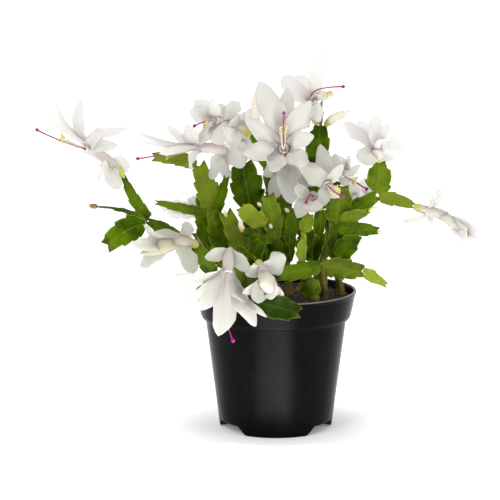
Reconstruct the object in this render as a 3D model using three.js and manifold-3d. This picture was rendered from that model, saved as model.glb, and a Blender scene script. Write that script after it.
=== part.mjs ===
// A christmas cactus in flower, growing in a round black nursery pot.
//
// Frame: millimetres, +Z up. The origin is the middle of the pot's underside, on the ground.
// The plant's front, with the flowers that hang over the rim, looks along -Y, and +X is to the right.
//
// The plant is built as it grows. Shoots rise from the soil as chains of flat segments, side pads
// spring from their ends, and each end carries a flower or a bud. Pieces that touch keep JOINT_GAP.
import * as THREE from 'three';
import { mergeVertices } from 'three/addons/utils/BufferGeometryUtils.js';
import Module from 'manifold-3d';

// ---------------------------------------------------------------- driving dimensions
const JOINT_GAP = 0.4; // between two pieces that touch

const POT_HEIGHT = 104;
const POT_BASE_RADIUS = 42;
const POT_BODY_TOP_RADIUS = 52.7;
const POT_BAND_LOW_RADIUS = 56.3; // lower end of the thick band under the rim
const POT_RIM_RADIUS = 60;
const POT_BAND_HEIGHT = 20.5;
const POT_WALL = 1.4;
const POT_SIDES = 40;

const FOOT_NOTCHES = 3;
const NOTCH_HEIGHT = 6;
const NOTCH_HALF_WIDTH = 20; // at the ground
const NOTCH_TOP_HALF_WIDTH = 11;
const NOTCH_INNER_RADIUS = 26; // the base disc reaches this far out under each notch
const DRAIN_RADIUS = 3.5;
const DRAIN_CENTRE_RADIUS = 33;

const SOIL_HEIGHT = 99;
const SOIL_SIDES = 20;
const SOIL_RINGS = 4;
const SOIL_BUMP = 0.9; // how far the crumbs rise and fall

const PLANTED_DEPTH = 8; // of each shoot's foot in the soil
const STEM_HALF_WIDTH = 3;
const STEM_HALF_THICKNESS = 2.2;
const SOCKET_RADIUS = 3.9;

const NECK_HALF_WIDTH = 1.6; // where a pad starts on the one below it
const PAD_END_HALF_WIDTH = 3.2; // least half width of a pad's blunt end
const PAD_HALF_THICKNESS = 1.3; // on the midrib
const PAD_END_HALF_THICKNESS = 1;
const SEGMENT_OVERLAP = 1; // two segments of one shoot run into each other this far
const PAD_LEAN = 0.2; // share of its length over which a pad follows the end that carries it
const FLOWER_LEAN = 0.35;

const PETAL_HALF_THICKNESS = 0.45;
const PETAL_TWIST = 0.9; // how far a petal's face turns towards the light
const BACK_PLACE = 40; // flowers rooted behind this have their light from behind
const TUBE_SIDES = 6;
const STYLE_SIDES = 4;
const STIGMA_RADIUS = 1.1;
const COLLAR_PLACE = 0.3; // how far up the tube the collar of short petals stands

// ---------------------------------------------------------------- the plant's layout
// A shoot is a list of places: its foot on the soil, the joint above its woody part, and the end
// of each flat segment as [x, y, z, width, roll]. Roll turns the flat face from the front, in
// degrees, about the segment's own length. A place with no width ends a woody, round stretch.
const SHOOTS = {
  shoot_left: [[-27, -16, 99], [-45, -26, 118], [-70, -26, 146, 12, 60], [-94, -24, 159, 12, 30]],
  shoot_front_left: [[-18, -22, 99], [-24, -34, 116], [-30, -40, 139, 10, 20]],
  shoot_mid_left: [[-22, 4, 99], [-37, 2, 121], [-45, -2, 161, 17, 25], [-57, 2, 197, 19, 5]],
  shoot_inner: [[-10, -12, 99], [-21, -18, 128, 10, 40], [-37, -18, 164, 17, 15]],
  shoot_centre: [
    [-3, 10, 99], [-10, 10, 123], [-18, 8, 145, 10, 0], [-19, 6, 165, 13, 10], [-25, 8, 197, 27, -8],
  ],
  shoot_centre_right: [[10, 2, 99], [8, -2, 125], [4, -6, 151, 16, 10], [4, 4, 188, 17, -10]],
  shoot_slim: [[21, -14, 99], [19, -18, 128, 7, 40], [20, -18, 151, 7, 30]],
  shoot_right_tall: [
    [31, 6, 99], [31, 6, 124], [32, 6, 145, 11, 25], [33, 6, 164, 11, 20], [30, 12, 197, 18, 10],
    [33, 12, 225, 19, -10], [34, 18, 243, 10, 80],
  ],
  shoot_right_low: [[36, -14, 99], [34, -16, 124], [63, -26, 122, 17, -10]],
  shoot_far_right: [[49, 6, 99], [44, 6, 127], [45, 4, 153, 15, 20], [48, 2, 181, 22, 0]],
  shoot_back: [[0, 26, 99], [-4, 40, 118], [-10, 50, 140, 15, 0], [-22, 60, 161, 18, 10]],
  shoot_back_right: [[19, 26, 99], [31, 42, 118], [43, 54, 138, 15, -10], [55, 64, 159, 18, 0]],
  shoot_back_left: [[-18, 26, 99], [-33, 38, 118], [-46, 46, 137, 14, 10], [-57, 50, 154, 16, 0]],
  shoot_over_rim: [[-14, -42, 99], [-15, -52, 109], [-15, -64.5, 107], [16, -65, 99, 19, 0]],
  shoot_young: [[29, -23, 99], [28, -24, 104], [22, -24.5, 116, 16, 0]],
};

// The side branches of a shoot, each as [the segment it springs from, x, y, z, width, roll]. Segments
// count from 1 at the shoot's foot, and on through its branches in their order here.
const BRANCHES = {
  shoot_left: [[1, -58, -10, 146, 14, 100]],
  shoot_front_left: [[1, -39, -34, 130, 10, 0]],
  shoot_mid_left: [
    [2, -37, 0, 188, 9, 10], [1, -47, -16, 165, 16, 0], [1, -60, 5, 146, 13, 0],
    [2, -56, 18, 186, 15, 80],
  ],
  shoot_inner: [[1, -10, -28, 147, 13, 0], [1, -20, -38, 148, 15, 85]],
  shoot_centre: [
    [1, -25, 14, 142, 15, 0], [2, -1, 16, 172, 15, 0], [1, -8, 30, 150, 17, 80],
    [7, -6, 32, 180, 18, 90], [7, 2, 48, 172, 15, 70],
  ],
  shoot_centre_right: [
    [2, -7, -6, 190, 11, 20], [1, -9, -20, 156, 17, 0], [5, -26, -28, 170, 17, -20],
    [1, -1, -14, 144, 10, 10], [7, -6, -20, 177, 17, 20], [7, -25, -24, 151, 11, 12],
    [1, 12, -10, 167, 11, 10],
  ],
  shoot_slim: [[2, 25, -16, 163, 11, 0], [1, 18, -35, 149, 14, 60]],
  shoot_right_tall: [[1, 16, 14, 139, 14, 0], [2, 34, 24, 166, 16, 90], [1, 38, -8, 150, 15, 100]],
  shoot_far_right: [[1, 60, 20, 141, 13, 0], [1, 49, 33, 163, 17, 80]],
  shoot_back: [
    [1, 14, 48, 141, 17, 0], [2, 3, 66, 153, 16, 0], [1, -14, 66, 128, 16, 80],
    [2, -11, 38, 168, 16, 85],
  ],
  shoot_back_right: [
    [1, 18, 52, 151, 15, 0], [2, 57, 50, 147, 15, 20], [2, 46, 72, 156, 16, 0],
    [1, 40, 66, 128, 15, 80], [2, 40, 38, 164, 16, 85],
  ],
  shoot_back_left: [
    [1, -28, 40, 146, 15, 0], [2, -53, 64, 157, 14, 0], [1, -40, 62, 130, 16, 80],
    [2, -44, 34, 164, 16, 85],
  ],
};

// A pad: what carries it, how far beside the middle of that end it sits, its own end as
// [x, y, z], its width, its roll, and how far its middle bows towards its face.
// A pad from the side of a shoot starts at a point [x, y, z] instead.
const PADS = {
  pad_left_broad: ['shoot_left', -3.4, [-124, -30, 142], 21, 8, 0],
  pad_left_thin: ['shoot_left', 0, [-130, -27, 170], 9, 80, 2],
  pad_left_strap: ['shoot_left', 3.4, [-112, -14, 190], 9.5, 15, -4],
  pad_front: ['shoot_front_left', 3, [-15, -48, 134], 10, 60, 0],
  pad_front_side: [[-46, -29, 119], 0, [-57, -42, 143], 13, 0, 0],
  pad_front_low: [[-38, -26, 111.5], 0, [-61, -54, 123], 8, 40, 0],
  pad_left_lens: [[-46.5, -4.8, 161], 0, [-88, -12, 171], 8, 20, 0],
  pad_left_top: ['shoot_mid_left', -3, [-91, 10, 202], 12, 20, 0],
  pad_left_inner: [[-38, 5.2, 121.5], 0, [-59, 8, 163], 16, 0, 0],
  pad_top_centre: ['shoot_centre_right', -3, [-16, 14, 219], 19, 0, 0],
  pad_centre: [[3, -8.8, 151], 0, [-10, -18, 173], 15, 15, 0],
  pad_low_centre: [[32.5, -18, 124.6], 0, [1, -38, 121], 14, 20, 0],
  pad_right_low: ['shoot_right_low', 0, [80, -32, 113], 10, 20, 0],
  pad_right_second: [[45.4, 3.8, 127.3], 0, [60, 0, 145], 17, 0, 0],
  pad_right_toothed: [[46, 1.2, 150.5], 0, [75, -12, 150], 12, -20, 0],
  pad_right_slim: [[47.8, 1, 156.4], 0, [68, -6, 164], 11, 20, 0],
  pad_right_mid: [[47, 6.8, 153.5], 0, [75, 10, 173], 16, 0, 0],
  pad_right_arm: ['pad_right_mid', 3, [102, 8, 166], 11, 0, 0],
  pad_right_top: ['pad_right_mid', -3, [77, 10, 198], 21, 0, 0],
  pad_back_top: ['shoot_back', 0, [-25, 70, 189], 19, 0, 0],
  pad_back_right: ['shoot_back_right', -3, [40, 70, 175], 17, 0, 0],
  pad_back_left: ['shoot_back_left', 3, [-46, 60, 174], 16, 0, 0],
};

// A flower: what carries it and how far beside the middle, its mouth, the tip of its style,
// its long petals from the mouth and its short collar petals, each petal as [x, y, z, width].
const FLOWERS = {
  flower_left: {
    from: 'pad_left_strap', beside: 0, mouth: [-144, -16, 213], style: [-176, -24, 227],
    petals: [
      [-162, -10, 245, 7], [-143, -14, 247, 13], [-167, -22, 235, 5], [-127, -30, 225, 10],
      [-109, -6, 226, 11], [-115, -28, 215, 10], [-131, 6, 225, 12],
    ],
    collar: [[-109, -6, 194, 12], [-116, -16, 181, 13], [-131, -28, 190, 10], [-130, 6, 199, 10]],
  },
  flower_left_centre: {
    from: 'shoot_centre', beside: -3, mouth: [-67, -2, 209], style: [-104, -10, 203],
    petals: [
      [-103, -4, 223, 5], [-103, -14, 219, 5], [-82, 2, 227, 9], [-64, -12, 229, 15],
      [-54, 3, 222, 10], [-86, -18, 208, 6], [-64, -14, 197, 9],
    ],
    collar: [[-47, -6, 187, 11], [-37, 8, 184, 10], [-23, -8, 198, 11], [-45, 18, 209, 9]],
  },
  flower_top_left: {
    from: 'pad_top_centre', beside: -3.4, mouth: [-49, 2, 231], style: [-62, -4, 226],
    petals: [
      [-61, 14, 244, 14], [-64, 6, 237, 12], [-56, -8, 213, 10], [-40, -12, 214, 14],
      [-53, 10, 213, 8], [-46, -6, 247, 11],
    ],
    collar: [[-28, 4, 211, 7], [-34, 0, 245, 13], [-28, -16, 236, 10], [-30, 22, 234, 10]],
  },
  flower_top_back: {
    from: [-16, 16.2, 219.6], beside: 0, mouth: [-36, 32, 230], style: [-46, 30, 241],
    petals: [
      [-45, 22, 240, 11], [-40, 26, 221, 10], [-46, 42, 226, 11], [-27, 30, 240, 10],
      [-33, 50, 233, 12],
    ],
    collar: [[-18, 44, 231, 10], [-22, 30, 221, 8]],
  },
  flower_centre: {
    from: 'shoot_centre_right', beside: 3, mouth: [5, -28, 214], style: [5, -44, 242],
    petals: [
      [-13, -18, 261, 19], [8, -16, 256, 15], [25, -30, 248, 14], [27, -36, 223, 13],
      [22, -34, 202, 14], [-23, -30, 235, 13], [-25, -36, 211, 15], [-5, -35, 197, 14],
    ],
    collar: [[11, -20, 171, 13], [-3, -12, 173, 12], [-9, -8, 190, 9], [21, 0, 185, 12]],
  },
  flower_top_right: {
    from: 'shoot_right_tall.5', beside: -3.6, mouth: [25, 4, 247], style: [51, -4, 256],
    petals: [
      [35, 4, 280, 13], [3, -4, 263, 16], [39, 10, 248, 9], [22, -8, 230, 12], [32, -2, 229, 11],
      [15, 16, 263, 14],
    ],
    collar: [[17, 14, 223, 10], [16, 24, 239, 10]],
  },
  flower_right: {
    from: 'pad_right_top', beside: 0, mouth: [74, 8, 210], style: [72, 4, 221],
    petals: [
      [50, 2, 229, 12], [61, 18, 228, 11], [71, -4, 236, 14], [85, 16, 226, 10], [96, 8, 209, 13],
      [84, -10, 218, 9],
    ],
    collar: [[61, -2, 200, 14], [86, 20, 198, 11], [67, 24, 204, 10]],
  },
  flower_mid_right: {
    from: [28.5, 9.6, 197], beside: 0, mouth: [39, -22, 183], style: [50, -30, 177],
    petals: [
      [32, -16, 215, 13], [16, -28, 202, 15], [44, -8, 207, 12], [48, -30, 202, 9], [45, -16, 175, 10],
      [34, -28, 174, 11],
    ],
    collar: [[16, -10, 184, 10], [19, 4, 192, 9]],
  },
  flower_mid_back: {
    from: [33.4, 14.5, 198], beside: 0, mouth: [51, 22, 187], style: [69, 12, 177],
    petals: [
      [55, 14, 203, 7], [63, 10, 196, 8], [45, 18, 203, 11], [57, 24, 174, 9], [51, 32, 193, 10],
    ],
    collar: [[34, 28, 197, 10], [37, 30, 181, 10]],
  },
  flower_low_centre: {
    from: [33, 3.9, 164], beside: 0, mouth: [26, -16, 178], style: [21, -27, 172],
    petals: [
      [15, -22, 161, 13], [27, -30, 166, 13], [37, -20, 171, 12], [13, -24, 184, 10],
    ],
    collar: [[38, -10, 177, 9]],
  },
  flower_left_low: {
    from: 'pad_front_side', beside: 0, mouth: [-82, -50, 145], style: [-103, -52, 146],
    petals: [
      [-105, -54, 147, 13], [-99, -46, 129, 13], [-96, -52, 161, 8],
    ],
    collar: [[-64, -46, 162, 10], [-60, -48, 124, 13], [-94, -40, 149, 10]],
  },
  flower_front: {
    from: 'shoot_front_left', beside: -3, mouth: [-35, -66, 122], style: [-31, -76, 79],
    petals: [
      [-74, -66, 126, 9], [-68, -60, 107, 11], [-55, -78, 103, 13], [-42, -82, 85, 18],
      [-15, -78, 91, 14], [-7, -74, 97, 9], [-22, -70, 107, 12],
    ],
    collar: [[-52, -58, 138, 9], [-19, -60, 128, 10]],
  },
  flower_front_small: {
    from: 'pad_front', beside: 0, mouth: [-9, -64, 120], style: [-4, -70, 113],
    petals: [
      [-2, -72, 111, 14], [5, -68, 112, 6], [-15, -74, 108, 12], [-25, -70, 114, 8],
    ],
    collar: [[5, -56, 140, 13], [-23, -58, 127, 10]],
  },
  flower_far_right: {
    from: 'pad_right_arm', beside: 0, mouth: [131, 6, 158], style: [145, 2, 136],
    petals: [
      [152, 4, 140, 13], [142, -6, 141, 13], [151, 12, 145, 12], [148, -2, 143, 10],
    ],
    collar: [[122, 4, 179, 6], [115, -6, 175, 5], [94, -2, 155, 4], [118, 12, 152, 5]],
  },
  flower_back_left: {
    from: 'shoot_back_left', beside: -3, mouth: [-72, 58, 156], style: [-84, 60, 158],
    petals: [
      [-89, 52, 161, 12], [-74, 66, 162, 12], [-63, 76, 155, 12], [-66, 48, 149, 11],
      [-80, 66, 148, 12],
    ],
    collar: [[-60, 60, 165, 9], [-57, 70, 148, 9]],
  },
  flower_back: {
    from: 'pad_back_top', beside: 0, mouth: [-26, 88, 204], style: [-24, 104, 210],
    petals: [
      [-40, 84, 214, 14], [-13, 84, 216, 14], [-40, 97, 196, 14], [-11, 96, 198, 14],
      [-27, 98, 186, 13], [-26, 98, 224, 14],
    ],
    collar: [[-9, 78, 193, 10], [-40, 78, 197, 10]],
  },
  flower_back_right: {
    from: 'shoot_back_right', beside: 3, mouth: [67, 84, 165], style: [74, 100, 171],
    petals: [
      [57, 92, 174, 13], [76, 80, 178, 13], [80, 84, 162, 12], [72, 90, 150, 12], [58, 100, 155, 12],
      [67, 108, 166, 12],
    ],
    collar: [[63, 74, 155, 9], [61, 72, 175, 9]],
  },
};

// A bud: what carries it, how far beside the middle, its tip and its thickness.
const BUDS = {
  bud_top: ['pad_top_centre', 3.4, [-14, 18, 253], 8],
  bud_right_top: ['shoot_right_tall.5', 3.6, [56, 8, 237], 7],
  bud_left: ['pad_left_thin', 0, [-138, -28, 171], 4],
  bud_right: ['pad_right_slim', 0, [77, -8, 166], 4.5],
};

// ---------------------------------------------------------------- materials
function matte(colour, roughness) {
  return new THREE.MeshStandardMaterial({ color: colour, roughness, metalness: 0 });
}

const blackPlastic = () => matte(0x141415, 0.35);
const pottingSoil = () => matte(0x2a1c14, 0.95);
const greenSkin = () => matte(0x4d7a12, 0.5);
const whitePetal = () => matte(0xf2eeea, 0.6);
const creamBud = () => matte(0xf0e9c0, 0.55);

// ---------------------------------------------------------------- solids from rings
const manifoldLibrary = await Module();
manifoldLibrary.setup();

const point = ([x, y, z]) => new THREE.Vector3(x, y, z);

// Joins rings of equal point count into a closed skin, with a flat lid on each end.
function skinOf(rings) {
  const count = rings[0].length;
  const positions = rings.flatMap((ring) => ring.flatMap((corner) => corner.toArray()));
  const index = [];
  for (let level = 0; level < rings.length - 1; level += 1) {
    for (let side = 0; side < count; side += 1) {
      const next = (side + 1) % count;
      const low = level * count;
      const high = low + count;
      index.push(low + side, low + next, high + next);
      index.push(low + side, high + next, high + side);
    }
  }
  const last = (rings.length - 1) * count;
  for (let side = 1; side < count - 1; side += 1) {
    index.push(0, side + 1, side);
    index.push(last, last + side, last + side + 1);
  }
  const geometry = new THREE.BufferGeometry();
  geometry.setAttribute('position', new THREE.Float32BufferAttribute(positions, 3));
  geometry.setIndex(index);
  return geometry;
}

// A three.js geometry as a solid that can be joined and cut.
function solidOf(geometry) {
  const bare = geometry.clone();
  bare.deleteAttribute('normal');
  bare.deleteAttribute('uv');
  const merged = mergeVertices(bare, 1e-4);
  return new manifoldLibrary.Manifold(new manifoldLibrary.Mesh({
    numProp: 3,
    vertProperties: new Float32Array(merged.attributes.position.array),
    triVerts: new Uint32Array(merged.index.array),
  }));
}

function geometryOf(solid) {
  const mesh = solid.getMesh();
  const geometry = new THREE.BufferGeometry();
  geometry.setAttribute('position', new THREE.BufferAttribute(mesh.vertProperties, 3));
  geometry.setIndex(new THREE.BufferAttribute(mesh.triVerts, 1));
  geometry.computeVertexNormals();
  return geometry;
}

const joined = (solids) => solids.reduce((whole, next) => whole.add(next));

// The direction that faces the front, square to an axis and turned about it by some degrees.
function faceOf(axis, roll) {
  const front = new THREE.Vector3(0, -1, 0);
  if (Math.abs(axis.y) > 0.95) {
    front.set(0, 0, 1);
  }
  const face = front.addScaledVector(axis, -front.dot(axis)).normalize();
  return face.applyAxisAngle(axis, THREE.MathUtils.degToRad(roll));
}

// Flat rings of four corners along a curve: two on the edges and two on the midrib.
// Each station is [place along the curve, half width, half thickness].
function flatRings(curve, faceHint, stations, bow = 0) {
  return stations.map(([place, halfWidth, halfThickness]) => {
    const along = curve.getTangent(place);
    const face = faceHint.clone().addScaledVector(along, -faceHint.dot(along)).normalize();
    const side = along.clone().cross(face);
    const centre = curve.getPoint(place).addScaledVector(face, bow * 4 * place * (1 - place));
    return [
      centre.clone().addScaledVector(side, -halfWidth),
      centre.clone().addScaledVector(face, halfThickness),
      centre.clone().addScaledVector(side, halfWidth),
      centre.clone().addScaledVector(face, -halfThickness),
    ];
  });
}

// Round rings along a curve. Each station is [place along the curve, radius].
function roundRings(curve, sides, stations) {
  return stations.map(([place, radius]) => {
    const along = curve.getTangent(place);
    const face = faceOf(along, 0);
    const side = along.clone().cross(face);
    return Array.from({ length: sides }, (_, step) => {
      const turn = (step / sides) * 2 * Math.PI;
      return curve.getPoint(place)
        .addScaledVector(side, radius * Math.sin(turn))
        .addScaledVector(face, radius * Math.cos(turn));
    });
  });
}

// ---------------------------------------------------------------- pot and soil
// The pot's outside, or its inside when it is drawn in by the wall, turned about the Z axis.
function potProfile(inset, bottom, top) {
  const bandBottom = POT_HEIGHT - POT_BAND_HEIGHT;
  const bandSlope = (POT_RIM_RADIUS - POT_BAND_LOW_RADIUS) / POT_BAND_HEIGHT;
  const bandRadius = (height) => POT_BAND_LOW_RADIUS + (height - bandBottom) * bandSlope;
  return [
    [0, bottom],
    [POT_BASE_RADIUS - inset, bottom],
    [POT_BODY_TOP_RADIUS - inset, bandBottom - 3],
    [POT_BODY_TOP_RADIUS - inset, bandBottom],
    [POT_BAND_LOW_RADIUS - inset - 1, bandBottom + 1],
    [POT_BAND_LOW_RADIUS - inset, bandBottom + 3],
    [bandRadius(top) - inset, top],
    [0, top],
  ].map(([radius, height]) => new THREE.Vector2(radius, height));
}

function turned(profile, sides) {
  return new THREE.LatheGeometry(profile, sides).rotateX(Math.PI / 2);
}

// One notch between two feet, a bar with curved flanks that points out from the axis.
function notchBar(extra) {
  const foot = NOTCH_HALF_WIDTH + extra;
  const crown = NOTCH_TOP_HALF_WIDTH + extra;
  const height = NOTCH_HEIGHT + extra;
  const outline = new THREE.Shape();
  outline.moveTo(-foot, -2);
  outline.lineTo(foot, -2);
  outline.lineTo(foot, 0);
  outline.bezierCurveTo(crown + 4, 0, foot - 4, height, crown, height);
  outline.lineTo(-crown, height);
  outline.bezierCurveTo(-foot + 4, height, -crown - 4, 0, -foot, 0);
  outline.closePath();
  const bar = new THREE.ExtrudeGeometry(outline, {
    depth: POT_RIM_RADIUS, bevelEnabled: false, curveSegments: 4,
  });
  bar.rotateX(Math.PI / 2);
  bar.translate(0, -NOTCH_INNER_RADIUS + extra, 0);
  return bar;
}

function cutNotches(solid, extra) {
  let left = solid;
  for (let notch = 0; notch < FOOT_NOTCHES; notch += 1) {
    const turn = ((notch + 0.5) / FOOT_NOTCHES) * 2 * Math.PI;
    left = left.subtract(solidOf(notchBar(extra).rotateZ(turn)));
  }
  return left;
}

function drainHoles() {
  return Array.from({ length: FOOT_NOTCHES }, (_, notch) => {
    const turn = ((notch + 0.5) / FOOT_NOTCHES) * 2 * Math.PI;
    const hole = new THREE.CylinderGeometry(DRAIN_RADIUS, DRAIN_RADIUS, 2 * NOTCH_HEIGHT, 16);
    hole.rotateX(Math.PI / 2);
    hole.translate(0, -DRAIN_CENTRE_RADIUS, NOTCH_HEIGHT);
    hole.rotateZ(turn);
    return solidOf(hole);
  });
}

// What fills the pot's inside, kept clear of the wall by a gap.
function potInside(gap, top) {
  const inset = POT_WALL + gap;
  const filled = solidOf(turned(potProfile(inset, inset, top), POT_SIDES));
  return cutNotches(filled, inset);
}

function potBody() {
  const outside = cutNotches(solidOf(turned(potProfile(0, 0, POT_HEIGHT), POT_SIDES)), 0);
  const hollow = outside.subtract(potInside(0, POT_HEIGHT + 1));
  return drainHoles().reduce((pot, hole) => pot.subtract(hole), hollow);
}

const soilHeightAt = (radius, turn) => SOIL_HEIGHT
  + SOIL_BUMP * Math.sin(radius * 0.21 + 3 * turn) * Math.cos(radius * 0.33 - 5 * turn);

// A bumpy lid that is taken off the top of the filled pot.
function aboveSoil() {
  const reach = POT_RIM_RADIUS + 2;
  const low = [];
  for (let ring = 1; ring <= SOIL_RINGS; ring += 1) {
    const radius = (reach * ring) / SOIL_RINGS;
    low.push(Array.from({ length: SOIL_SIDES }, (_, step) => {
      const turn = (step / SOIL_SIDES) * 2 * Math.PI;
      const height = soilHeightAt(radius, turn);
      return new THREE.Vector3(radius * Math.cos(turn), radius * Math.sin(turn), height);
    }));
  }
  const rim = low[low.length - 1].map((corner) => corner.clone().setZ(POT_HEIGHT + 4));
  const middle = low[0].map((corner) => corner.clone().setZ(POT_HEIGHT + 4));
  return skinOf([...low, rim, middle]);
}

// ---------------------------------------------------------------- pads and shoots
// Half widths along a pad: a neck, two pairs of teeth and a blunt end.
function padStations(width) {
  const half = width / 2;
  const end = Math.max(0.36 * half, PAD_END_HALF_WIDTH);
  return [
    [0, NECK_HALF_WIDTH, PAD_HALF_THICKNESS],
    [0.08, Math.min(2.2, half), PAD_HALF_THICKNESS],
    [0.32, 0.95 * half, PAD_HALF_THICKNESS],
    [0.39, 0.8 * half, PAD_HALF_THICKNESS],
    [0.62, half, PAD_HALF_THICKNESS],
    [0.7, 0.8 * half, PAD_HALF_THICKNESS],
    [0.93, Math.max(0.7 * half, end), PAD_END_HALF_THICKNESS],
    [1, end, PAD_END_HALF_THICKNESS],
  ];
}

// Where each shoot and pad ends, and which way its end points.
const ends = new Map();

function rememberEnd(name, curve, face) {
  const along = curve.getTangent(1);
  ends.set(name, { place: curve.getPoint(1), along, side: along.clone().cross(face) });
}

// The place where a piece starts, a gap away from the end that carries it.
function startOn(carrier, beside) {
  if (Array.isArray(carrier)) {
    return { place: point(carrier), along: null };
  }
  const { place, along, side } = ends.get(carrier);
  const start = place.clone().addScaledVector(along, JOINT_GAP).addScaledVector(side, beside);
  return { place: start, along };
}

// A curve that leaves its carrier along the carrier's own direction.
function leaningCurve(start, tip, lean) {
  const reach = tip.clone().sub(start.place);
  const lead = start.along ? start.along : reach.clone().normalize();
  const control = start.place.clone().addScaledVector(lead, lean * reach.length())
    .addScaledVector(reach, 0.2);
  return new THREE.QuadraticBezierCurve3(start.place, control, tip);
}

function padSolid(name, [carrier, beside, tip, width, roll, bow]) {
  const curve = leaningCurve(startOn(carrier, beside), point(tip), PAD_LEAN);
  const face = faceOf(curve.getTangent(0.5), roll);
  rememberEnd(name, curve, face);
  return solidOf(skinOf(flatRings(curve, face, padStations(width), bow)));
}

function stemStations() {
  return [
    [0, STEM_HALF_WIDTH, STEM_HALF_THICKNESS],
    [0.9, STEM_HALF_WIDTH, STEM_HALF_THICKNESS],
    [1, NECK_HALF_WIDTH, PAD_HALF_THICKNESS],
  ];
}

function shootSolid(name, places) {
  const segments = [];
  const grow = (start, [x, y, z, width, roll], overlap) => {
    const high = new THREE.Vector3(x, y, z);
    const run = high.clone().sub(start).normalize();
    const line = new THREE.LineCurve3(start.clone().addScaledVector(run, -overlap), high);
    const face = faceOf(run, roll ?? 0);
    const stations = width ? padStations(width) : stemStations();
    segments.push(solidOf(skinOf(flatRings(line, face, stations))));
    rememberEnd(`${name}.${segments.length}`, line, face);
  };
  for (let step = 1; step < places.length; step += 1) {
    grow(point(places[step - 1]), places[step], step === 1 ? PLANTED_DEPTH : SEGMENT_OVERLAP);
  }
  ends.set(name, ends.get(`${name}.${segments.length}`));
  for (const [from, ...branch] of BRANCHES[name] ?? []) {
    grow(ends.get(`${name}.${from}`).place, branch, SEGMENT_OVERLAP);
  }
  return joined(segments);
}

// The hole in the soil that a shoot's foot stands in.
function socketOf(places) {
  const foot = point(places[0]);
  const run = point(places[1]).sub(foot).normalize();
  const low = foot.clone().addScaledVector(run, -PLANTED_DEPTH - JOINT_GAP);
  const high = foot.clone().addScaledVector(run, PLANTED_DEPTH);
  return solidOf(skinOf(roundRings(new THREE.LineCurve3(low, high), 8, [
    [0, SOCKET_RADIUS], [1, SOCKET_RADIUS],
  ])));
}

// ---------------------------------------------------------------- flowers and buds
// A petal leaves its root along the flower's axis and then turns out to its tip. It is twisted on
// its base to face the light, which comes from the front, or from behind for the flowers there.
function petalSolid(root, axis, tip, width) {
  const reach = tip.clone().sub(root);
  const control = root.clone().addScaledVector(axis, 0.3 * reach.length())
    .addScaledVector(reach, 0.25);
  const curve = new THREE.QuadraticBezierCurve3(root, control, tip);
  const across = axis.clone().cross(reach);
  if (across.length() < 0.1 * reach.length()) {
    across.copy(faceOf(axis, 0));
  }
  const face = reach.clone().cross(across).normalize();
  const light = root.y > BACK_PLACE ? 1 : -1;
  face.y += face.y * light < 0 ? -light * PETAL_TWIST : light * PETAL_TWIST;
  const half = width / 2;
  return solidOf(skinOf(flatRings(curve, face, [
    [0, Math.min(0.4 * half, 1.8), PETAL_HALF_THICKNESS],
    [0.4, 0.85 * half, PETAL_HALF_THICKNESS],
    [0.72, 0.9 * half, PETAL_HALF_THICKNESS],
    [1, 0.3, 0.3],
  ])));
}

function flowerSolid({ from, beside, mouth, style, petals, collar }) {
  const tube = leaningCurve(startOn(from, beside), point(mouth), FLOWER_LEAN);
  const axis = tube.getTangent(1);
  const parts = [solidOf(skinOf(roundRings(tube, TUBE_SIDES, [
    [0, 1.2], [0.12, 2.8], [0.32, 3.3], [0.7, 4.1], [1, 4.5],
  ])))];
  const root = tube.getPoint(0.94);
  for (const [x, y, z, width] of petals) {
    parts.push(petalSolid(root, axis, new THREE.Vector3(x, y, z), width));
  }
  const collarRoot = tube.getPoint(COLLAR_PLACE);
  const collarAxis = tube.getTangent(COLLAR_PLACE);
  for (const [x, y, z, width] of collar) {
    parts.push(petalSolid(collarRoot, collarAxis, new THREE.Vector3(x, y, z), width));
  }
  const styleTip = point(style);
  const styleReach = styleTip.distanceTo(root);
  const styleCurve = new THREE.QuadraticBezierCurve3(
    root,
    root.clone().addScaledVector(axis, 0.6 * styleReach),
    styleTip,
  );
  parts.push(solidOf(skinOf(roundRings(styleCurve, STYLE_SIDES, [
    [0, 1.8], [0.55, 1.4], [0.65, 0.6], [0.94, STIGMA_RADIUS], [1, 0.5],
  ]))));
  return joined(parts);
}

function budSolid([carrier, beside, tip, thickness]) {
  const curve = leaningCurve(startOn(carrier, beside), point(tip), PAD_LEAN);
  const radius = thickness / 2;
  return solidOf(skinOf(roundRings(curve, TUBE_SIDES, [
    [0, 1.2], [0.15, 0.75 * radius], [0.45, radius], [0.75, 0.8 * radius], [1, 0.3],
  ])));
}

// ---------------------------------------------------------------- the object
const cactus = new THREE.Group();

function place(name, solid, material) {
  const mesh = new THREE.Mesh(geometryOf(solid), material);
  mesh.name = name;
  cactus.add(mesh);
}

place('pot', potBody(), blackPlastic());

const sockets = Object.values(SHOOTS).map(socketOf);
const filling = potInside(JOINT_GAP, POT_HEIGHT).subtract(solidOf(aboveSoil()));
place('soil', sockets.reduce((soil, socket) => soil.subtract(socket), filling), pottingSoil());

for (const [name, places] of Object.entries(SHOOTS)) {
  place(name, shootSolid(name, places), greenSkin());
}
for (const [name, row] of Object.entries(PADS)) {
  place(name, padSolid(name, row), greenSkin());
}
for (const [name, row] of Object.entries(FLOWERS)) {
  place(name, flowerSolid(row), whitePetal());
}
for (const [name, row] of Object.entries(BUDS)) {
  place(name, budSolid(row), creamBud());
}

export default cactus;
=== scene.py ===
# %% [markdown]
# A christmas cactus in flower, in a black nursery pot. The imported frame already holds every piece
# at its real place and size. This lesson gives each piece its living surface: toothed green
# segments, thin white petals, stamens, buds, crumbly soil and moulded plastic.
# Everything is worked out with numpy on grids, because a plant is the same few shapes repeated
# with small differences, and a formula repeats more evenly than a hand-pulled mesh.

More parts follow.
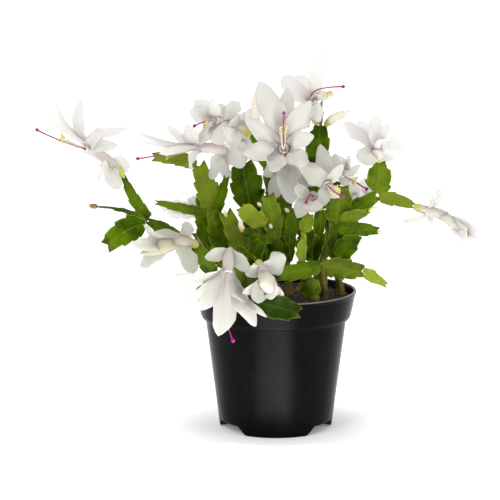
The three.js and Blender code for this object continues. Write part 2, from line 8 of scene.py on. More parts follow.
# %% Load the frame
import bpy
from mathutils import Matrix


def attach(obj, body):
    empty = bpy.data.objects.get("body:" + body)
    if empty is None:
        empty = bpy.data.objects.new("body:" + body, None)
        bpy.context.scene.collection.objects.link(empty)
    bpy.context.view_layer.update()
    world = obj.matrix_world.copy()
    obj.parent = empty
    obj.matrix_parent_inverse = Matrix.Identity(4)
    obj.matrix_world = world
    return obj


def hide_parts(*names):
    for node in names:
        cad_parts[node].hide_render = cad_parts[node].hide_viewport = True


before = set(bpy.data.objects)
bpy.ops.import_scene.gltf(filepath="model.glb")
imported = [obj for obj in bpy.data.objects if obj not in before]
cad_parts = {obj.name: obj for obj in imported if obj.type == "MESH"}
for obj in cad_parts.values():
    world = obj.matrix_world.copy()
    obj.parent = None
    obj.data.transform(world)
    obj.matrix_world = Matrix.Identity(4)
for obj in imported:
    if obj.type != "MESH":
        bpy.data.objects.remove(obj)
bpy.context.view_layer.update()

import math

import bpy
import numpy as np
from mathutils import Matrix

MM = 0.001


def add_object(name, data):
    """Puts a new object that shows the data into the scene."""
    made = bpy.data.objects.new(name, data)
    bpy.context.scene.collection.objects.link(made)
    return made


print("frame nodes:", len(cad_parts))

# %% [markdown]
# The camera stands where the photographer stood: a little above level, far away with a long lens,
# so the pot's rim shows as a thin ellipse. The pot's rim is 120 mm across and spans 161 of 500
# pixels, which gives the width of the view at the pot; the rim's ellipse gives the height angle.

# %% Camera
SENSOR = 36.0
VIEW_WIDTH = 0.3725  # metres across the picture at the pot's axis
VIEW_DISTANCE = 1.6
LENS = SENSOR * VIEW_DISTANCE / VIEW_WIDTH
VIEW_ELEVATION = math.radians(9.4)
VIEW_TARGET = np.array([-0.0194, 0.0, 0.1336])


def make_camera():
    """The camera stands at target + distance * (0, -cos e, sin e) and looks at the target."""
    data = bpy.data.cameras.new("camera")
    data.sensor_width = SENSOR
    data.lens = LENS
    camera = add_object("camera", data)
    away = np.array([0.0, -math.cos(VIEW_ELEVATION), math.sin(VIEW_ELEVATION)])
    camera.location = VIEW_TARGET + VIEW_DISTANCE * away
    camera.rotation_euler = (math.pi / 2 - VIEW_ELEVATION, 0.0, 0.0)
    bpy.context.scene.camera = camera


make_camera()
print("camera lens", round(LENS, 1), "mm")

# %% [markdown]
# The layout repeats the frame's own: where each shoot, pad, flower and bud starts and ends.
# A shoot is a chain of places (x, y, z), and a place that ends a flat segment adds its width and
# roll. A branch gives the number of the segment that it springs from, then its own end, width
# and roll. Pads, flowers and buds start on the end of another piece, a little beside its middle,
# or at a place. A pad has a tip, a width, a roll and a bow. A flower has its mouth, the tip of its
# style, and the tips and widths of its petals and of its collar. A bud has a tip and a thickness.
# Places and sizes are in millimetres, as a gardener would measure them, and rolls in degrees.

# %% Layout of the plant
SHOOTS = {
    "shoot_left": [(-27, -16, 99), (-45, -26, 118), (-70, -26, 146, 12, 60), (-94, -24, 159, 12, 30)],
    "shoot_front_left": [(-18, -22, 99), (-24, -34, 116), (-30, -40, 139, 10, 20)],
    "shoot_mid_left": [(-22, 4, 99), (-37, 2, 121), (-45, -2, 161, 17, 25), (-57, 2, 197, 19, 5)],
    "shoot_inner": [(-10, -12, 99), (-21, -18, 128, 10, 40), (-37, -18, 164, 17, 15)],
    "shoot_centre": [(-3, 10, 99), (-10, 10, 123), (-18, 8, 145, 10, 0), (-19, 6, 165, 13, 10),
                     (-25, 8, 197, 27, -8)],
    "shoot_centre_right": [(10, 2, 99), (8, -2, 125), (4, -6, 151, 16, 10), (4, 4, 188, 17, -10)],
    "shoot_slim": [(21, -14, 99), (19, -18, 128, 7, 40), (20, -18, 151, 7, 30)],
    "shoot_right_tall": [(31, 6, 99), (31, 6, 124), (32, 6, 145, 11, 25), (33, 6, 164, 11, 20),
                         (30, 12, 197, 18, 10), (33, 12, 225, 19, -10), (34, 18, 243, 10, 80)],
    "shoot_right_low": [(36, -14, 99), (34, -16, 124), (63, -26, 122, 17, -10)],
    "shoot_far_right": [(49, 6, 99), (44, 6, 127), (45, 4, 153, 15, 20), (48, 2, 181, 22, 0)],
    "shoot_back": [(0, 26, 99), (-4, 40, 118), (-10, 50, 140, 15, 0), (-22, 60, 161, 18, 10)],
    "shoot_back_right": [(19, 26, 99), (31, 42, 118), (43, 54, 138, 15, -10), (55, 64, 159, 18, 0)],
    "shoot_back_left": [(-18, 26, 99), (-33, 38, 118), (-46, 46, 137, 14, 10), (-57, 50, 154, 16, 0)],
    "shoot_over_rim": [(-14, -42, 99), (-15, -52, 109), (-15, -64.5, 107), (16, -65, 99, 19, 0)],
    "shoot_young": [(29, -23, 99), (28, -24, 104), (22, -24.5, 116, 16, 0)],
}

BRANCHES = {
    "shoot_left": [(1, -58, -10, 146, 14, 100)],
    "shoot_front_left": [(1, -39, -34, 130, 10, 0)],
    "shoot_mid_left": [
        (2, -37, 0, 188, 9, 10), (1, -47, -16, 165, 16, 0), (1, -60, 5, 146, 13, 0),
        (2, -56, 18, 186, 15, 80),
    ],
    "shoot_inner": [(1, -10, -28, 147, 13, 0), (1, -20, -38, 148, 15, 85)],
    "shoot_centre": [
        (1, -25, 14, 142, 15, 0), (2, -1, 16, 172, 15, 0), (1, -8, 30, 150, 17, 80),
        (7, -6, 32, 180, 18, 90), (7, 2, 48, 172, 15, 70),
    ],
    "shoot_centre_right": [
        (2, -7, -6, 190, 11, 20), (1, -9, -20, 156, 17, 0), (5, -26, -28, 170, 17, -20),
        (1, -1, -14, 144, 10, 10), (7, -6, -20, 177, 17, 20), (7, -25, -24, 151, 11, 12),
        (1, 12, -10, 167, 11, 10),
    ],
    "shoot_slim": [(2, 25, -16, 163, 11, 0), (1, 18, -35, 149, 14, 60)],
    "shoot_right_tall": [(1, 16, 14, 139, 14, 0), (2, 34, 24, 166, 16, 90), (1, 38, -8, 150, 15, 100)],
    "shoot_far_right": [(1, 60, 20, 141, 13, 0), (1, 49, 33, 163, 17, 80)],
    "shoot_back": [
        (1, 14, 48, 141, 17, 0), (2, 3, 66, 153, 16, 0), (1, -14, 66, 128, 16, 80),
        (2, -11, 38, 168, 16, 85),
    ],
    "shoot_back_right": [
        (1, 18, 52, 151, 15, 0), (2, 57, 50, 147, 15, 20), (2, 46, 72, 156, 16, 0),
        (1, 40, 66, 128, 15, 80), (2, 40, 38, 164, 16, 85),
    ],
    "shoot_back_left": [
        (1, -28, 40, 146, 15, 0), (2, -53, 64, 157, 14, 0), (1, -40, 62, 130, 16, 80),
        (2, -44, 34, 164, 16, 85),
    ],
}

PADS = {
    "pad_left_broad": ("shoot_left", -3.4, (-124, -30, 142), 21, 8, 0),
    "pad_left_thin": ("shoot_left", 0, (-130, -27, 170), 9, 80, 2),
    "pad_left_strap": ("shoot_left", 3.4, (-112, -14, 190), 9.5, 15, -4),
    "pad_front": ("shoot_front_left", 3, (-15, -48, 134), 10, 60, 0),
    "pad_front_side": ((-46, -29, 119), 0, (-57, -42, 143), 13, 0, 0),
    "pad_front_low": ((-38, -26, 111.5), 0, (-61, -54, 123), 8, 40, 0),
    "pad_left_lens": ((-46.5, -4.8, 161), 0, (-88, -12, 171), 8, 20, 0),
    "pad_left_top": ("shoot_mid_left", -3, (-91, 10, 202), 12, 20, 0),
    "pad_left_inner": ((-38, 5.2, 121.5), 0, (-59, 8, 163), 16, 0, 0),
    "pad_top_centre": ("shoot_centre_right", -3, (-16, 14, 219), 19, 0, 0),
    "pad_centre": ((3, -8.8, 151), 0, (-10, -18, 173), 15, 15, 0),
    "pad_low_centre": ((32.5, -18, 124.6), 0, (1, -38, 121), 14, 20, 0),
    "pad_right_low": ("shoot_right_low", 0, (80, -32, 113), 10, 20, 0),
    "pad_right_second": ((45.4, 3.8, 127.3), 0, (60, 0, 145), 17, 0, 0),
    "pad_right_toothed": ((46, 1.2, 150.5), 0, (75, -12, 150), 12, -20, 0),
    "pad_right_slim": ((47.8, 1, 156.4), 0, (68, -6, 164), 11, 20, 0),
    "pad_right_mid": ((47, 6.8, 153.5), 0, (75, 10, 173), 16, 0, 0),
    "pad_right_arm": ("pad_right_mid", 3, (102, 8, 166), 11, 0, 0),
    "pad_right_top": ("pad_right_mid", -3, (77, 10, 198), 21, 0, 0),
    "pad_back_top": ("shoot_back", 0, (-25, 70, 189), 19, 0, 0),
    "pad_back_right": ("shoot_back_right", -3, (40, 70, 175), 17, 0, 0),
    "pad_back_left": ("shoot_back_left", 3, (-46, 60, 174), 16, 0, 0),
}

FLOWERS = {
    "flower_left": (
        "pad_left_strap", 0, (-144, -16, 213), (-176, -24, 227),
        [(-162, -10, 245, 7), (-143, -14, 247, 13), (-167, -22, 235, 5), (-127, -30, 225, 10),
         (-109, -6, 226, 11), (-115, -28, 215, 10), (-131, 6, 225, 12)],
        [(-109, -6, 194, 12), (-116, -16, 181, 13), (-131, -28, 190, 10), (-130, 6, 199, 10)]),
    "flower_left_centre": (
        "shoot_centre", -3, (-67, -2, 209), (-104, -10, 203),
        [(-103, -4, 223, 5), (-103, -14, 219, 5), (-82, 2, 227, 9), (-64, -12, 229, 15),
         (-54, 3, 222, 10), (-86, -18, 208, 6), (-64, -14, 197, 9)],
        [(-47, -6, 187, 11), (-37, 8, 184, 10), (-23, -8, 198, 11), (-45, 18, 209, 9)]),
    "flower_top_left": (
        "pad_top_centre", -3.4, (-49, 2, 231), (-62, -4, 226),
        [(-61, 14, 244, 14), (-64, 6, 237, 12), (-56, -8, 213, 10), (-40, -12, 214, 14),
         (-53, 10, 213, 8), (-46, -6, 247, 11)],
        [(-28, 4, 211, 7), (-34, 0, 245, 13), (-28, -16, 236, 10), (-30, 22, 234, 10)]),
    "flower_top_back": (
        (-16, 16.2, 219.6), 0, (-36, 32, 230), (-46, 30, 241),
        [(-45, 22, 240, 11), (-40, 26, 221, 10), (-46, 42, 226, 11), (-27, 30, 240, 10),
         (-33, 50, 233, 12)],
        [(-18, 44, 231, 10), (-22, 30, 221, 8)]),
    "flower_centre": (
        "shoot_centre_right", 3, (5, -28, 214), (5, -44, 242),
        [(-13, -18, 261, 19), (8, -16, 256, 15), (25, -30, 248, 14), (27, -36, 223, 13),
         (22, -34, 202, 14), (-23, -30, 235, 13), (-25, -36, 211, 15), (-5, -35, 197, 14)],
        [(11, -20, 171, 13), (-3, -12, 173, 12), (-9, -8, 190, 9), (21, 0, 185, 12)]),
    "flower_top_right": (
        "shoot_right_tall.5", -3.6, (25, 4, 247), (51, -4, 256),
        [(35, 4, 280, 13), (3, -4, 263, 16), (39, 10, 248, 9), (22, -8, 230, 12),
         (32, -2, 229, 11), (15, 16, 263, 14)],
        [(17, 14, 223, 10), (16, 24, 239, 10)]),
    "flower_right": (
        "pad_right_top", 0, (74, 8, 210), (72, 4, 221),
        [(50, 2, 229, 12), (61, 18, 228, 11), (71, -4, 236, 14), (85, 16, 226, 10),
         (96, 8, 209, 13), (84, -10, 218, 9)],
        [(61, -2, 200, 14), (86, 20, 198, 11), (67, 24, 204, 10)]),
    "flower_mid_right": (
        (28.5, 9.6, 197), 0, (39, -22, 183), (50, -30, 177),
        [(32, -16, 215, 13), (16, -28, 202, 15), (44, -8, 207, 12), (48, -30, 202, 9),
         (45, -16, 175, 10), (34, -28, 174, 11)],
        [(16, -10, 184, 10), (19, 4, 192, 9)]),
    "flower_mid_back": (
        (33.4, 14.5, 198), 0, (51, 22, 187), (69, 12, 177),
        [(55, 14, 203, 7), (63, 10, 196, 8), (45, 18, 203, 11), (57, 24, 174, 9),
         (51, 32, 193, 10)],
        [(34, 28, 197, 10), (37, 30, 181, 10)]),
    "flower_low_centre": (
        (33, 3.9, 164), 0, (26, -16, 178), (21, -27, 172),
        [(15, -22, 161, 13), (27, -30, 166, 13), (37, -20, 171, 12), (13, -24, 184, 10)],
        [(38, -10, 177, 9)]),
    "flower_left_low": (
        "pad_front_side", 0, (-82, -50, 145), (-103, -52, 146),
        [(-105, -54, 147, 13), (-99, -46, 129, 13), (-96, -52, 161, 8)],
        [(-64, -46, 162, 10), (-60, -48, 124, 13), (-94, -40, 149, 10)]),
    "flower_front": (
        "shoot_front_left", -3, (-35, -66, 122), (-31, -76, 79),
        [(-74, -66, 126, 9), (-68, -60, 107, 11), (-55, -78, 103, 13), (-42, -82, 85, 18),
         (-15, -78, 91, 14), (-7, -74, 97, 9), (-22, -70, 107, 12)],
        [(-52, -58, 138, 9), (-19, -60, 128, 10)]),
    "flower_front_small": (
        "pad_front", 0, (-9, -64, 120), (-4, -70, 113),
        [(-2, -72, 111, 14), (5, -68, 112, 6), (-15, -74, 108, 12), (-25, -70, 114, 8)],
        [(5, -56, 140, 13), (-23, -58, 127, 10)]),
    "flower_far_right": (
        "pad_right_arm", 0, (131, 6, 158), (145, 2, 136),
        [(152, 4, 140, 13), (142, -6, 141, 13), (151, 12, 145, 12), (148, -2, 143, 10)],
        [(122, 4, 179, 6), (115, -6, 175, 5), (94, -2, 155, 4), (118, 12, 152, 5)]),
    "flower_back_left": (
        "shoot_back_left", -3, (-72, 58, 156), (-84, 60, 158),
        [(-89, 52, 161, 12), (-74, 66, 162, 12), (-63, 76, 155, 12), (-66, 48, 149, 11),
         (-80, 66, 148, 12)],
        [(-60, 60, 165, 9), (-57, 70, 148, 9)]),
    "flower_back": (
        "pad_back_top", 0, (-26, 88, 204), (-24, 104, 210),
        [(-40, 84, 214, 14), (-13, 84, 216, 14), (-40, 97, 196, 14), (-11, 96, 198, 14),
         (-27, 98, 186, 13), (-26, 98, 224, 14)],
        [(-9, 78, 193, 10), (-40, 78, 197, 10)]),
    "flower_back_right": (
        "shoot_back_right", 3, (67, 84, 165), (74, 100, 171),
        [(57, 92, 174, 13), (76, 80, 178, 13), (80, 84, 162, 12), (72, 90, 150, 12),
         (58, 100, 155, 12), (67, 108, 166, 12)],
        [(63, 74, 155, 9), (61, 72, 175, 9)]),
}

BUDS = {
    "bud_top": ("pad_top_centre", 3.4, (-14, 18, 253), 8),
    "bud_right_top": ("shoot_right_tall.5", 3.6, (56, 8, 237), 7),
    "bud_left": ("pad_left_thin", 0, (-138, -28, 171), 4),
    "bud_right": ("pad_right_slim", 0, (77, -8, 166), 4.5),
}
print("shoots", len(SHOOTS), "pads", len(PADS), "flowers", len(FLOWERS), "buds", len(BUDS))

# %% [markdown]
# Every grown piece follows a curve, with a flat face that turns about it. A helper gives the
# curve's points and its own three directions: along it, out of its face, and to its side.
# Rings of points carried along by those directions make any stem, leaf, petal or tube.

# %% Curves and their directions
JOINT_GAP = 0.4
END_PULL = 0.2


def unit(vectors):
    """A vector divided by its own length, for one vector or for rows of them."""
    return vectors / np.linalg.norm(vectors, axis=-1, keepdims=True)


def face_of(axis, roll):
    """The front direction less its share along the axis, turned about the axis by roll degrees."""
    front = np.array([0.0, 0.0, 1.0]) if abs(axis[1]) > 0.95 else np.array([0.0, -1.0, 0.0])
    face = unit(front - axis * front.dot(axis))
    turn = math.radians(roll)
    return face * math.cos(turn) + np.cross(axis, face) * math.sin(turn)


class Curve:
    """A curve through three handles: p(t) = (1-t)^2 a + 2t(1-t) b + t^2 c."""

    def __init__(self, start, control, end):
        self.handles = [np.asarray(handle, dtype=float) for handle in (start, control, end)]

    def at(self, t):
        """The points at shares t of the way."""
        a, b, c = self.handles
        t = np.asarray(t, dtype=float)[..., None]
        return (1 - t) ** 2 * a + 2 * t * (1 - t) * b + t ** 2 * c

    def along(self, t):
        """The direction of the curve there: (1-t)(b-a) + t(c-b), brought to length 1."""
        a, b, c = self.handles
        t = np.asarray(t, dtype=float)[..., None]
        return unit(2 * (1 - t) * (b - a) + 2 * t * (c - b))

    def length(self):
        """The sum of sixteen short steps along the curve."""
        points = self.at(np.linspace(0, 1, 17))
        return float(np.linalg.norm(np.diff(points, axis=0), axis=1).sum())


def straight(start, end):
    """A curve whose middle handle lies half way, so that it is a straight line."""
    start = np.asarray(start, dtype=float)
    end = np.asarray(end, dtype=float)
    return Curve(start, (start + end) / 2, end)


def directions(curve, t, face_hint):
    """Along = the curve's direction; face = the hint made square to it; side = along x face."""
    along = curve.along(t)
    face = unit(face_hint - along * (along @ face_hint)[:, None])
    return along, face, np.cross(along, face)


def once_around(count):
    """Evenly spaced angles once round a ring."""
    return np.linspace(0, 2 * np.pi, count, endpoint=False)


def carried_rings(centre, side, wide, face, high):
    """Point = centre + side * wide + face * high, for each ring and each place around it."""
    return centre[:, None] + side[:, None] * wide[..., None] + face[:, None] * high[..., None]


def round_rings(curve, t, radius, angle):
    """Rings about a curve, with wide = r cos a and high = r sin a."""
    _, face, side = directions(curve, t, face_of(curve.along(0.5), 0.0))
    return carried_rings(curve.at(t), side, radius * np.cos(angle), face, radius * np.sin(angle))


ENDS = {}


def remember_end(name, curve, face_hint):
    """Keeps where a piece ends, for the pieces that it carries."""
    along, _, side = directions(curve, np.array([1.0]), face_hint)
    ENDS[name] = (curve.at(1.0), along[0], side[0])


def leaning_curve(carrier, beside, tip, lean):
    """Leaves the carrier's end along its own direction, then bends over to the tip. The middle
    handle = start + lean * reach along that direction + a share of the way to the tip."""
    tip = np.asarray(tip, dtype=float)
    if isinstance(carrier, str):
        place, lead, side = ENDS[carrier]
        start = place + lead * JOINT_GAP + side * beside
        reach = tip - start
    else:
        start = np.asarray(carrier, dtype=float)
        reach = tip - start
        lead = unit(reach)
    control = start + lead * lean * np.linalg.norm(reach) + reach * END_PULL
    return Curve(start, control, tip)


print("curve helpers ready")

# %% [markdown]
# A mesh needs faces as well as points. Rings that close on themselves are joined to their
# neighbours by quads, and the two end rings are closed by a fan to one middle point, so every
# part is a closed skin. If its signed volume comes out negative, its faces are turned round.

# %% From rings to meshes
def ring_faces(levels, around):
    """Quads between rings i and i+1, and fans from each end ring to its own middle point."""
    level, step = np.meshgrid(np.arange(levels - 1), np.arange(around), indexing="ij")
    here = level * around + step
    beyond = level * around + (step + 1) % around
    quads = np.stack([here, here + around, beyond + around, beyond], axis=-1).reshape(-1, 4)
    steps = np.arange(around)
    first = levels * around
    low = np.stack([np.full(around, first), steps, (steps + 1) % around], axis=-1)
    top = (levels - 1) * around
    high = np.stack([np.full(around, first + 1), top + (steps + 1) % around, top + steps], axis=-1)
    return quads, np.concatenate([low, high])


class Skin:
    """One closed part: its points, its quads and triangles, and a value per point and name."""

    def __init__(self, rings, values, high_middle=None):
        levels, around = rings.shape[:2]
        low = rings[0].mean(axis=0)
        high = rings[-1].mean(axis=0) if high_middle is None else high_middle
        self.points = np.concatenate([rings.reshape(-1, 3), [low, high]])
        self.quads, self.fans = ring_faces(levels, around)
        self.values = {}
        for name, grid in values.items():
            grid = np.broadcast_to(grid, (levels, around))
            ends = [grid[0].mean(), grid[-1].mean()]
            self.values[name] = np.concatenate([grid.reshape(-1), ends])
        if self.volume() < 0:
            self.quads = self.quads[:, ::-1]
            self.fans = self.fans[:, ::-1]

    def volume(self):
        """A sixth of the sum of a . (b x c) over the triangles."""
        halves = [self.quads[:, [0, 1, 2]], self.quads[:, [0, 2, 3]], self.fans]
        a, b, c = np.moveaxis(self.points[np.concatenate(halves)], 1, 0)
        return float(np.einsum("ij,ij->i", a, np.cross(b, c)).sum() / 6)


def make_piece(name, skins, material, nodes=()):
    """Joins skins into one mesh in metres, gives it its material, hangs it on the root body and
    hides the frame nodes that it takes the place of.
    """
    starts = np.cumsum([0] + [len(skin.points) for skin in skins])[:-1]
    points = np.concatenate([skin.points for skin in skins]) * MM
    faces = []
    for skin, start in zip(skins, starts):
        faces += (skin.quads + start).tolist()
        faces += (skin.fans + start).tolist()
    mesh = bpy.data.meshes.new(name)
    mesh.from_pydata(points.tolist(), [], faces)
    for value in skins[0].values:
        layer = mesh.attributes.new(value, "FLOAT", "POINT")
        layer.data.foreach_set("value", np.concatenate([skin.values[value] for skin in skins]))
    mesh.polygons.foreach_set("use_smooth", np.ones(len(mesh.polygons), dtype=bool))
    mesh.update()
    mesh.materials.append(material)
    piece = add_object(name, mesh)
    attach(piece, "root")
    if nodes:
        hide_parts(*nodes)
    return piece


print("mesh helpers ready")

# %% [markdown]
# Finishes are node trees. A few small helpers keep them readable: one adds a node and sets its
# inputs, one mixes two colours, one reads a value that was stored on the mesh's points. Values
# stored on the points, such as how far along a leaf a point lies, let a pattern follow the
# shape, while noise in object coordinates gives the small unevenness that no two leaves share.

# %% Node helpers
class Finish:
    """A material with one principled shader, and short ways to add nodes to it."""

    def __init__(self, name, **settings):
        self.material = bpy.data.materials.new(name)
        self.material.use_nodes = True
        self.tree = self.material.node_tree
        self.shader = self.tree.nodes["Principled BSDF"]
        for socket, value in settings.items():
            self.shader.inputs[socket.replace("_", " ")].default_value = value

    def node(self, kind, inputs=None, **properties):
        """A new node with its settings made and its inputs fed."""
        made = self.tree.nodes.new(kind)
        for key, value in properties.items():
            setattr(made, key, value)
        for key, value in (inputs or {}).items():
            self.feed(made.inputs[key], value)
        return made

    def feed(self, socket, value):
        """Links another node's output to a socket, or sets the socket to a plain value."""
        if isinstance(value, bpy.types.NodeSocket):
            self.tree.links.new(value, socket)
        else:
            socket.default_value = value

    def set(self, socket, value):
        """Feeds one input of the shader."""
        self.feed(self.shader.inputs[socket], value)

    def value(self, name):
        """A value that was stored on the mesh's points."""
        return self.node("ShaderNodeAttribute", attribute_name=name).outputs["Fac"]

    def place(self):
        """Where a point lies in the object, in metres."""
        return self.node("ShaderNodeTexCoord").outputs["Object"]

    def noise(self, scale, detail, roughness=0.55):
        """Cloudy noise with about `scale` patches to the metre."""
        inputs = {"Vector": self.place(), "Scale": scale, "Detail": detail, "Roughness": roughness}
        return self.node("ShaderNodeTexNoise", inputs).outputs["Fac"]

    def span(self, value, low, high, to_low=0.0, to_high=1.0):
        """Maps low..high to to_low..to_high with a smooth step."""
        inputs = {"Value": value, "From Min": low, "From Max": high,
                  "To Min": to_low, "To Max": to_high}
        made = self.node("ShaderNodeMapRange", inputs, interpolation_type="SMOOTHSTEP")
        return made.outputs["Result"]

    def math(self, operation, first, second=0.0):
        """One sum on one or two values."""
        made = self.node("ShaderNodeMath", {0: first, 1: second}, operation=operation)
        return made.outputs[0]

    def mix(self, share, first, second):
        """A share of the second colour over the first."""
        made = self.node("ShaderNodeMix", data_type="RGBA")
        self.feed(made.inputs["Factor"], share)
        for key, colour in ((6, first), (7, second)):
            self.feed(made.inputs[key], (*colour, 1.0) if isinstance(colour, tuple) else colour)
        return made.outputs[2]

    def bump(self, height, strength, distance):
        """Small relief in the light only."""
        inputs = {"Height": height, "Strength": strength, "Distance": distance}
        self.set("Normal", self.node("ShaderNodeBump", inputs).outputs["Normal"])


print("node helpers ready")

# %% [markdown]
# The green skin of a segment is smooth and waxy. It is deeper green in the middle of old
# segments and paler on the midrib and young growth, and its edges are painted paler, a painted
# rim of light shining through them; the claws at the tip and the joints turn reddish brown, and
# the oldest segments at the soil become tan and corky. One material does all of this from values
# on the points: along and across place them on their segment, tone is how light or dark it is,
# both its own green and painted light and shade, stripe is how pale its stripes are, and wood is
# how far it has turned to bark.

# %% Finish of the green skin
SHADED_GREEN = (0.006, 0.014, 0.0002)
DEEP_GREEN = (0.023, 0.057, 0.0004)
LEAF_GREEN = (0.095, 0.168, 0.0008)
OLIVE_GREEN = (0.22, 0.275, 0.022)
RIM_LIGHT_AND_PALE_MARK_GREEN = (0.26, 0.36, 0.03)
CLAW_BROWN = (0.1, 0.03, 0.012)
CORK_TAN = (0.34, 0.24, 0.09)


def green_skin_finish():
    """Colour = deep to leaf green by noise, then towards olive where tone > 0, or towards deep and
    shaded green where tone < 0, which paints light and shade; pale marks at the rib and in specks,
    a painted rim of light at the edge; brown claws; bark."""
    skin = Finish("green_skin", Roughness=0.4, IOR=1.35, Specular_IOR_Level=0.1,
                  Subsurface_Weight=0.06, Subsurface_Scale=0.002)
    skin.set("Subsurface Radius", (0.6, 1.0, 0.1))
    along, across, tone = skin.value("along"), skin.value("across"), skin.value("tone")
    cloud = skin.noise(55.0, 3.0)
    fine = skin.noise(900.0, 2.0)
    colour = skin.mix(skin.span(cloud, 0.38, 0.62), DEEP_GREEN, LEAF_GREEN)
    # painted light and shade: a higher tone lifts a segment to olive, a lower one sinks it to deep and
    # then shaded green
    colour = skin.mix(skin.span(tone, 0.0, 1.0), colour, OLIVE_GREEN)
    colour = skin.mix(skin.span(tone, -1.0, 0.0, 1.0, 0.0), colour, DEEP_GREEN)
    colour = skin.mix(skin.span(tone, -2.0, -1.0, 1.0, 0.0), colour, SHADED_GREEN)
    edge = skin.math("ABSOLUTE", across)
    streak = skin.math("SINE", skin.math("MULTIPLY", across, 17.0))
    colour = skin.mix(skin.span(streak, 0.2, 1.0, 0.0, 0.1), colour, DEEP_GREEN)
    stripe = skin.math("MULTIPLY", skin.value("stripe"), skin.span(streak, -0.2, -0.9))
    colour = skin.mix(stripe, colour, RIM_LIGHT_AND_PALE_MARK_GREEN)
    lit = skin.span(tone, -1.6, -0.4, 0.25, 1.0)
    # pale midrib, painted rim of light along the edge, and pale specks; all weaker where tone paints
    # shade
    for mark, paler in ((skin.span(edge, 0.0, 0.1, 0.3, 0.0), OLIVE_GREEN),
                        (skin.span(edge, 0.84, 1.0, 0.0, 0.55), RIM_LIGHT_AND_PALE_MARK_GREEN),
                        (skin.span(fine, 0.62, 0.75, 0.0, 0.35), RIM_LIGHT_AND_PALE_MARK_GREEN)):
        colour = skin.mix(skin.math("MULTIPLY", mark, lit), colour, paler)
    claw = skin.math("MULTIPLY", skin.span(along, 0.95, 1.0), skin.span(edge, 0.3, 1.0, 0.1, 0.8))
    colour = skin.mix(claw, colour, CLAW_BROWN)
    colour = skin.mix(skin.span(along, 0.0, 0.04, 0.6, 0.0), colour, CLAW_BROWN)
    bark = skin.mix(skin.span(fine, 0.3, 0.7, 0.0, 0.8), CORK_TAN, CLAW_BROWN)
    corky = skin.math("MULTIPLY", skin.value("wood"), skin.span(cloud, 0.2, 0.55))
    colour = skin.mix(corky, colour, bark)
    skin.set("Base Color", colour)
    skin.set("Roughness", skin.span(cloud, 0.2, 0.8, 0.27, 0.44))
    relief = skin.math("ADD", cloud, skin.math("MULTIPLY", fine, 0.2))
    skin.bump(skin.math("ADD", relief, skin.math("MULTIPLY", streak, 0.06)), 0.4, 0.0006)
    return skin.material


GREEN_SKIN = green_skin_finish()
print("green skin has", len(GREEN_SKIN.node_tree.nodes), "nodes")

# %% [markdown]
# A segment is a flat, slightly lens-shaped piece about 2 mm thick, with a raised midrib and a
# toothed margin: each tooth rises in a gentle arc and drops back sharply, like a wave, and the
# last pair are claws that reach past the blunt end. The margin is a formula of the place along
# the segment, so a ring of points at each place, scaled by it, makes the whole outline.

# %% Shape of a segment
PAD_LEVELS = 72
PAD_AROUND = 28
PAD_NECK = 1.6
TOOTH_CLIMB, TOOTH_FALL = 0.88, 0.12
CLAW_START, CLAW_LENGTH = 0.88, 0.12
RANDOM = np.random.default_rng(25)


def margin_of(t, teeth, first, depth):
    """Between teeth the margin climbs as r^0.7 and falls back in the last eighth of each turn.
    It also gives how near each place is to the point of its tooth: climb^6."""
    turn = ((t - first) * teeth) % 1.0
    climb = np.where(turn < TOOTH_CLIMB, (turn / TOOTH_CLIMB) ** 0.7, (1 - turn) / TOOTH_FALL)
    return 1 - depth * (1 - climb) * np.clip(t / 0.15, 0, 1), climb ** 6


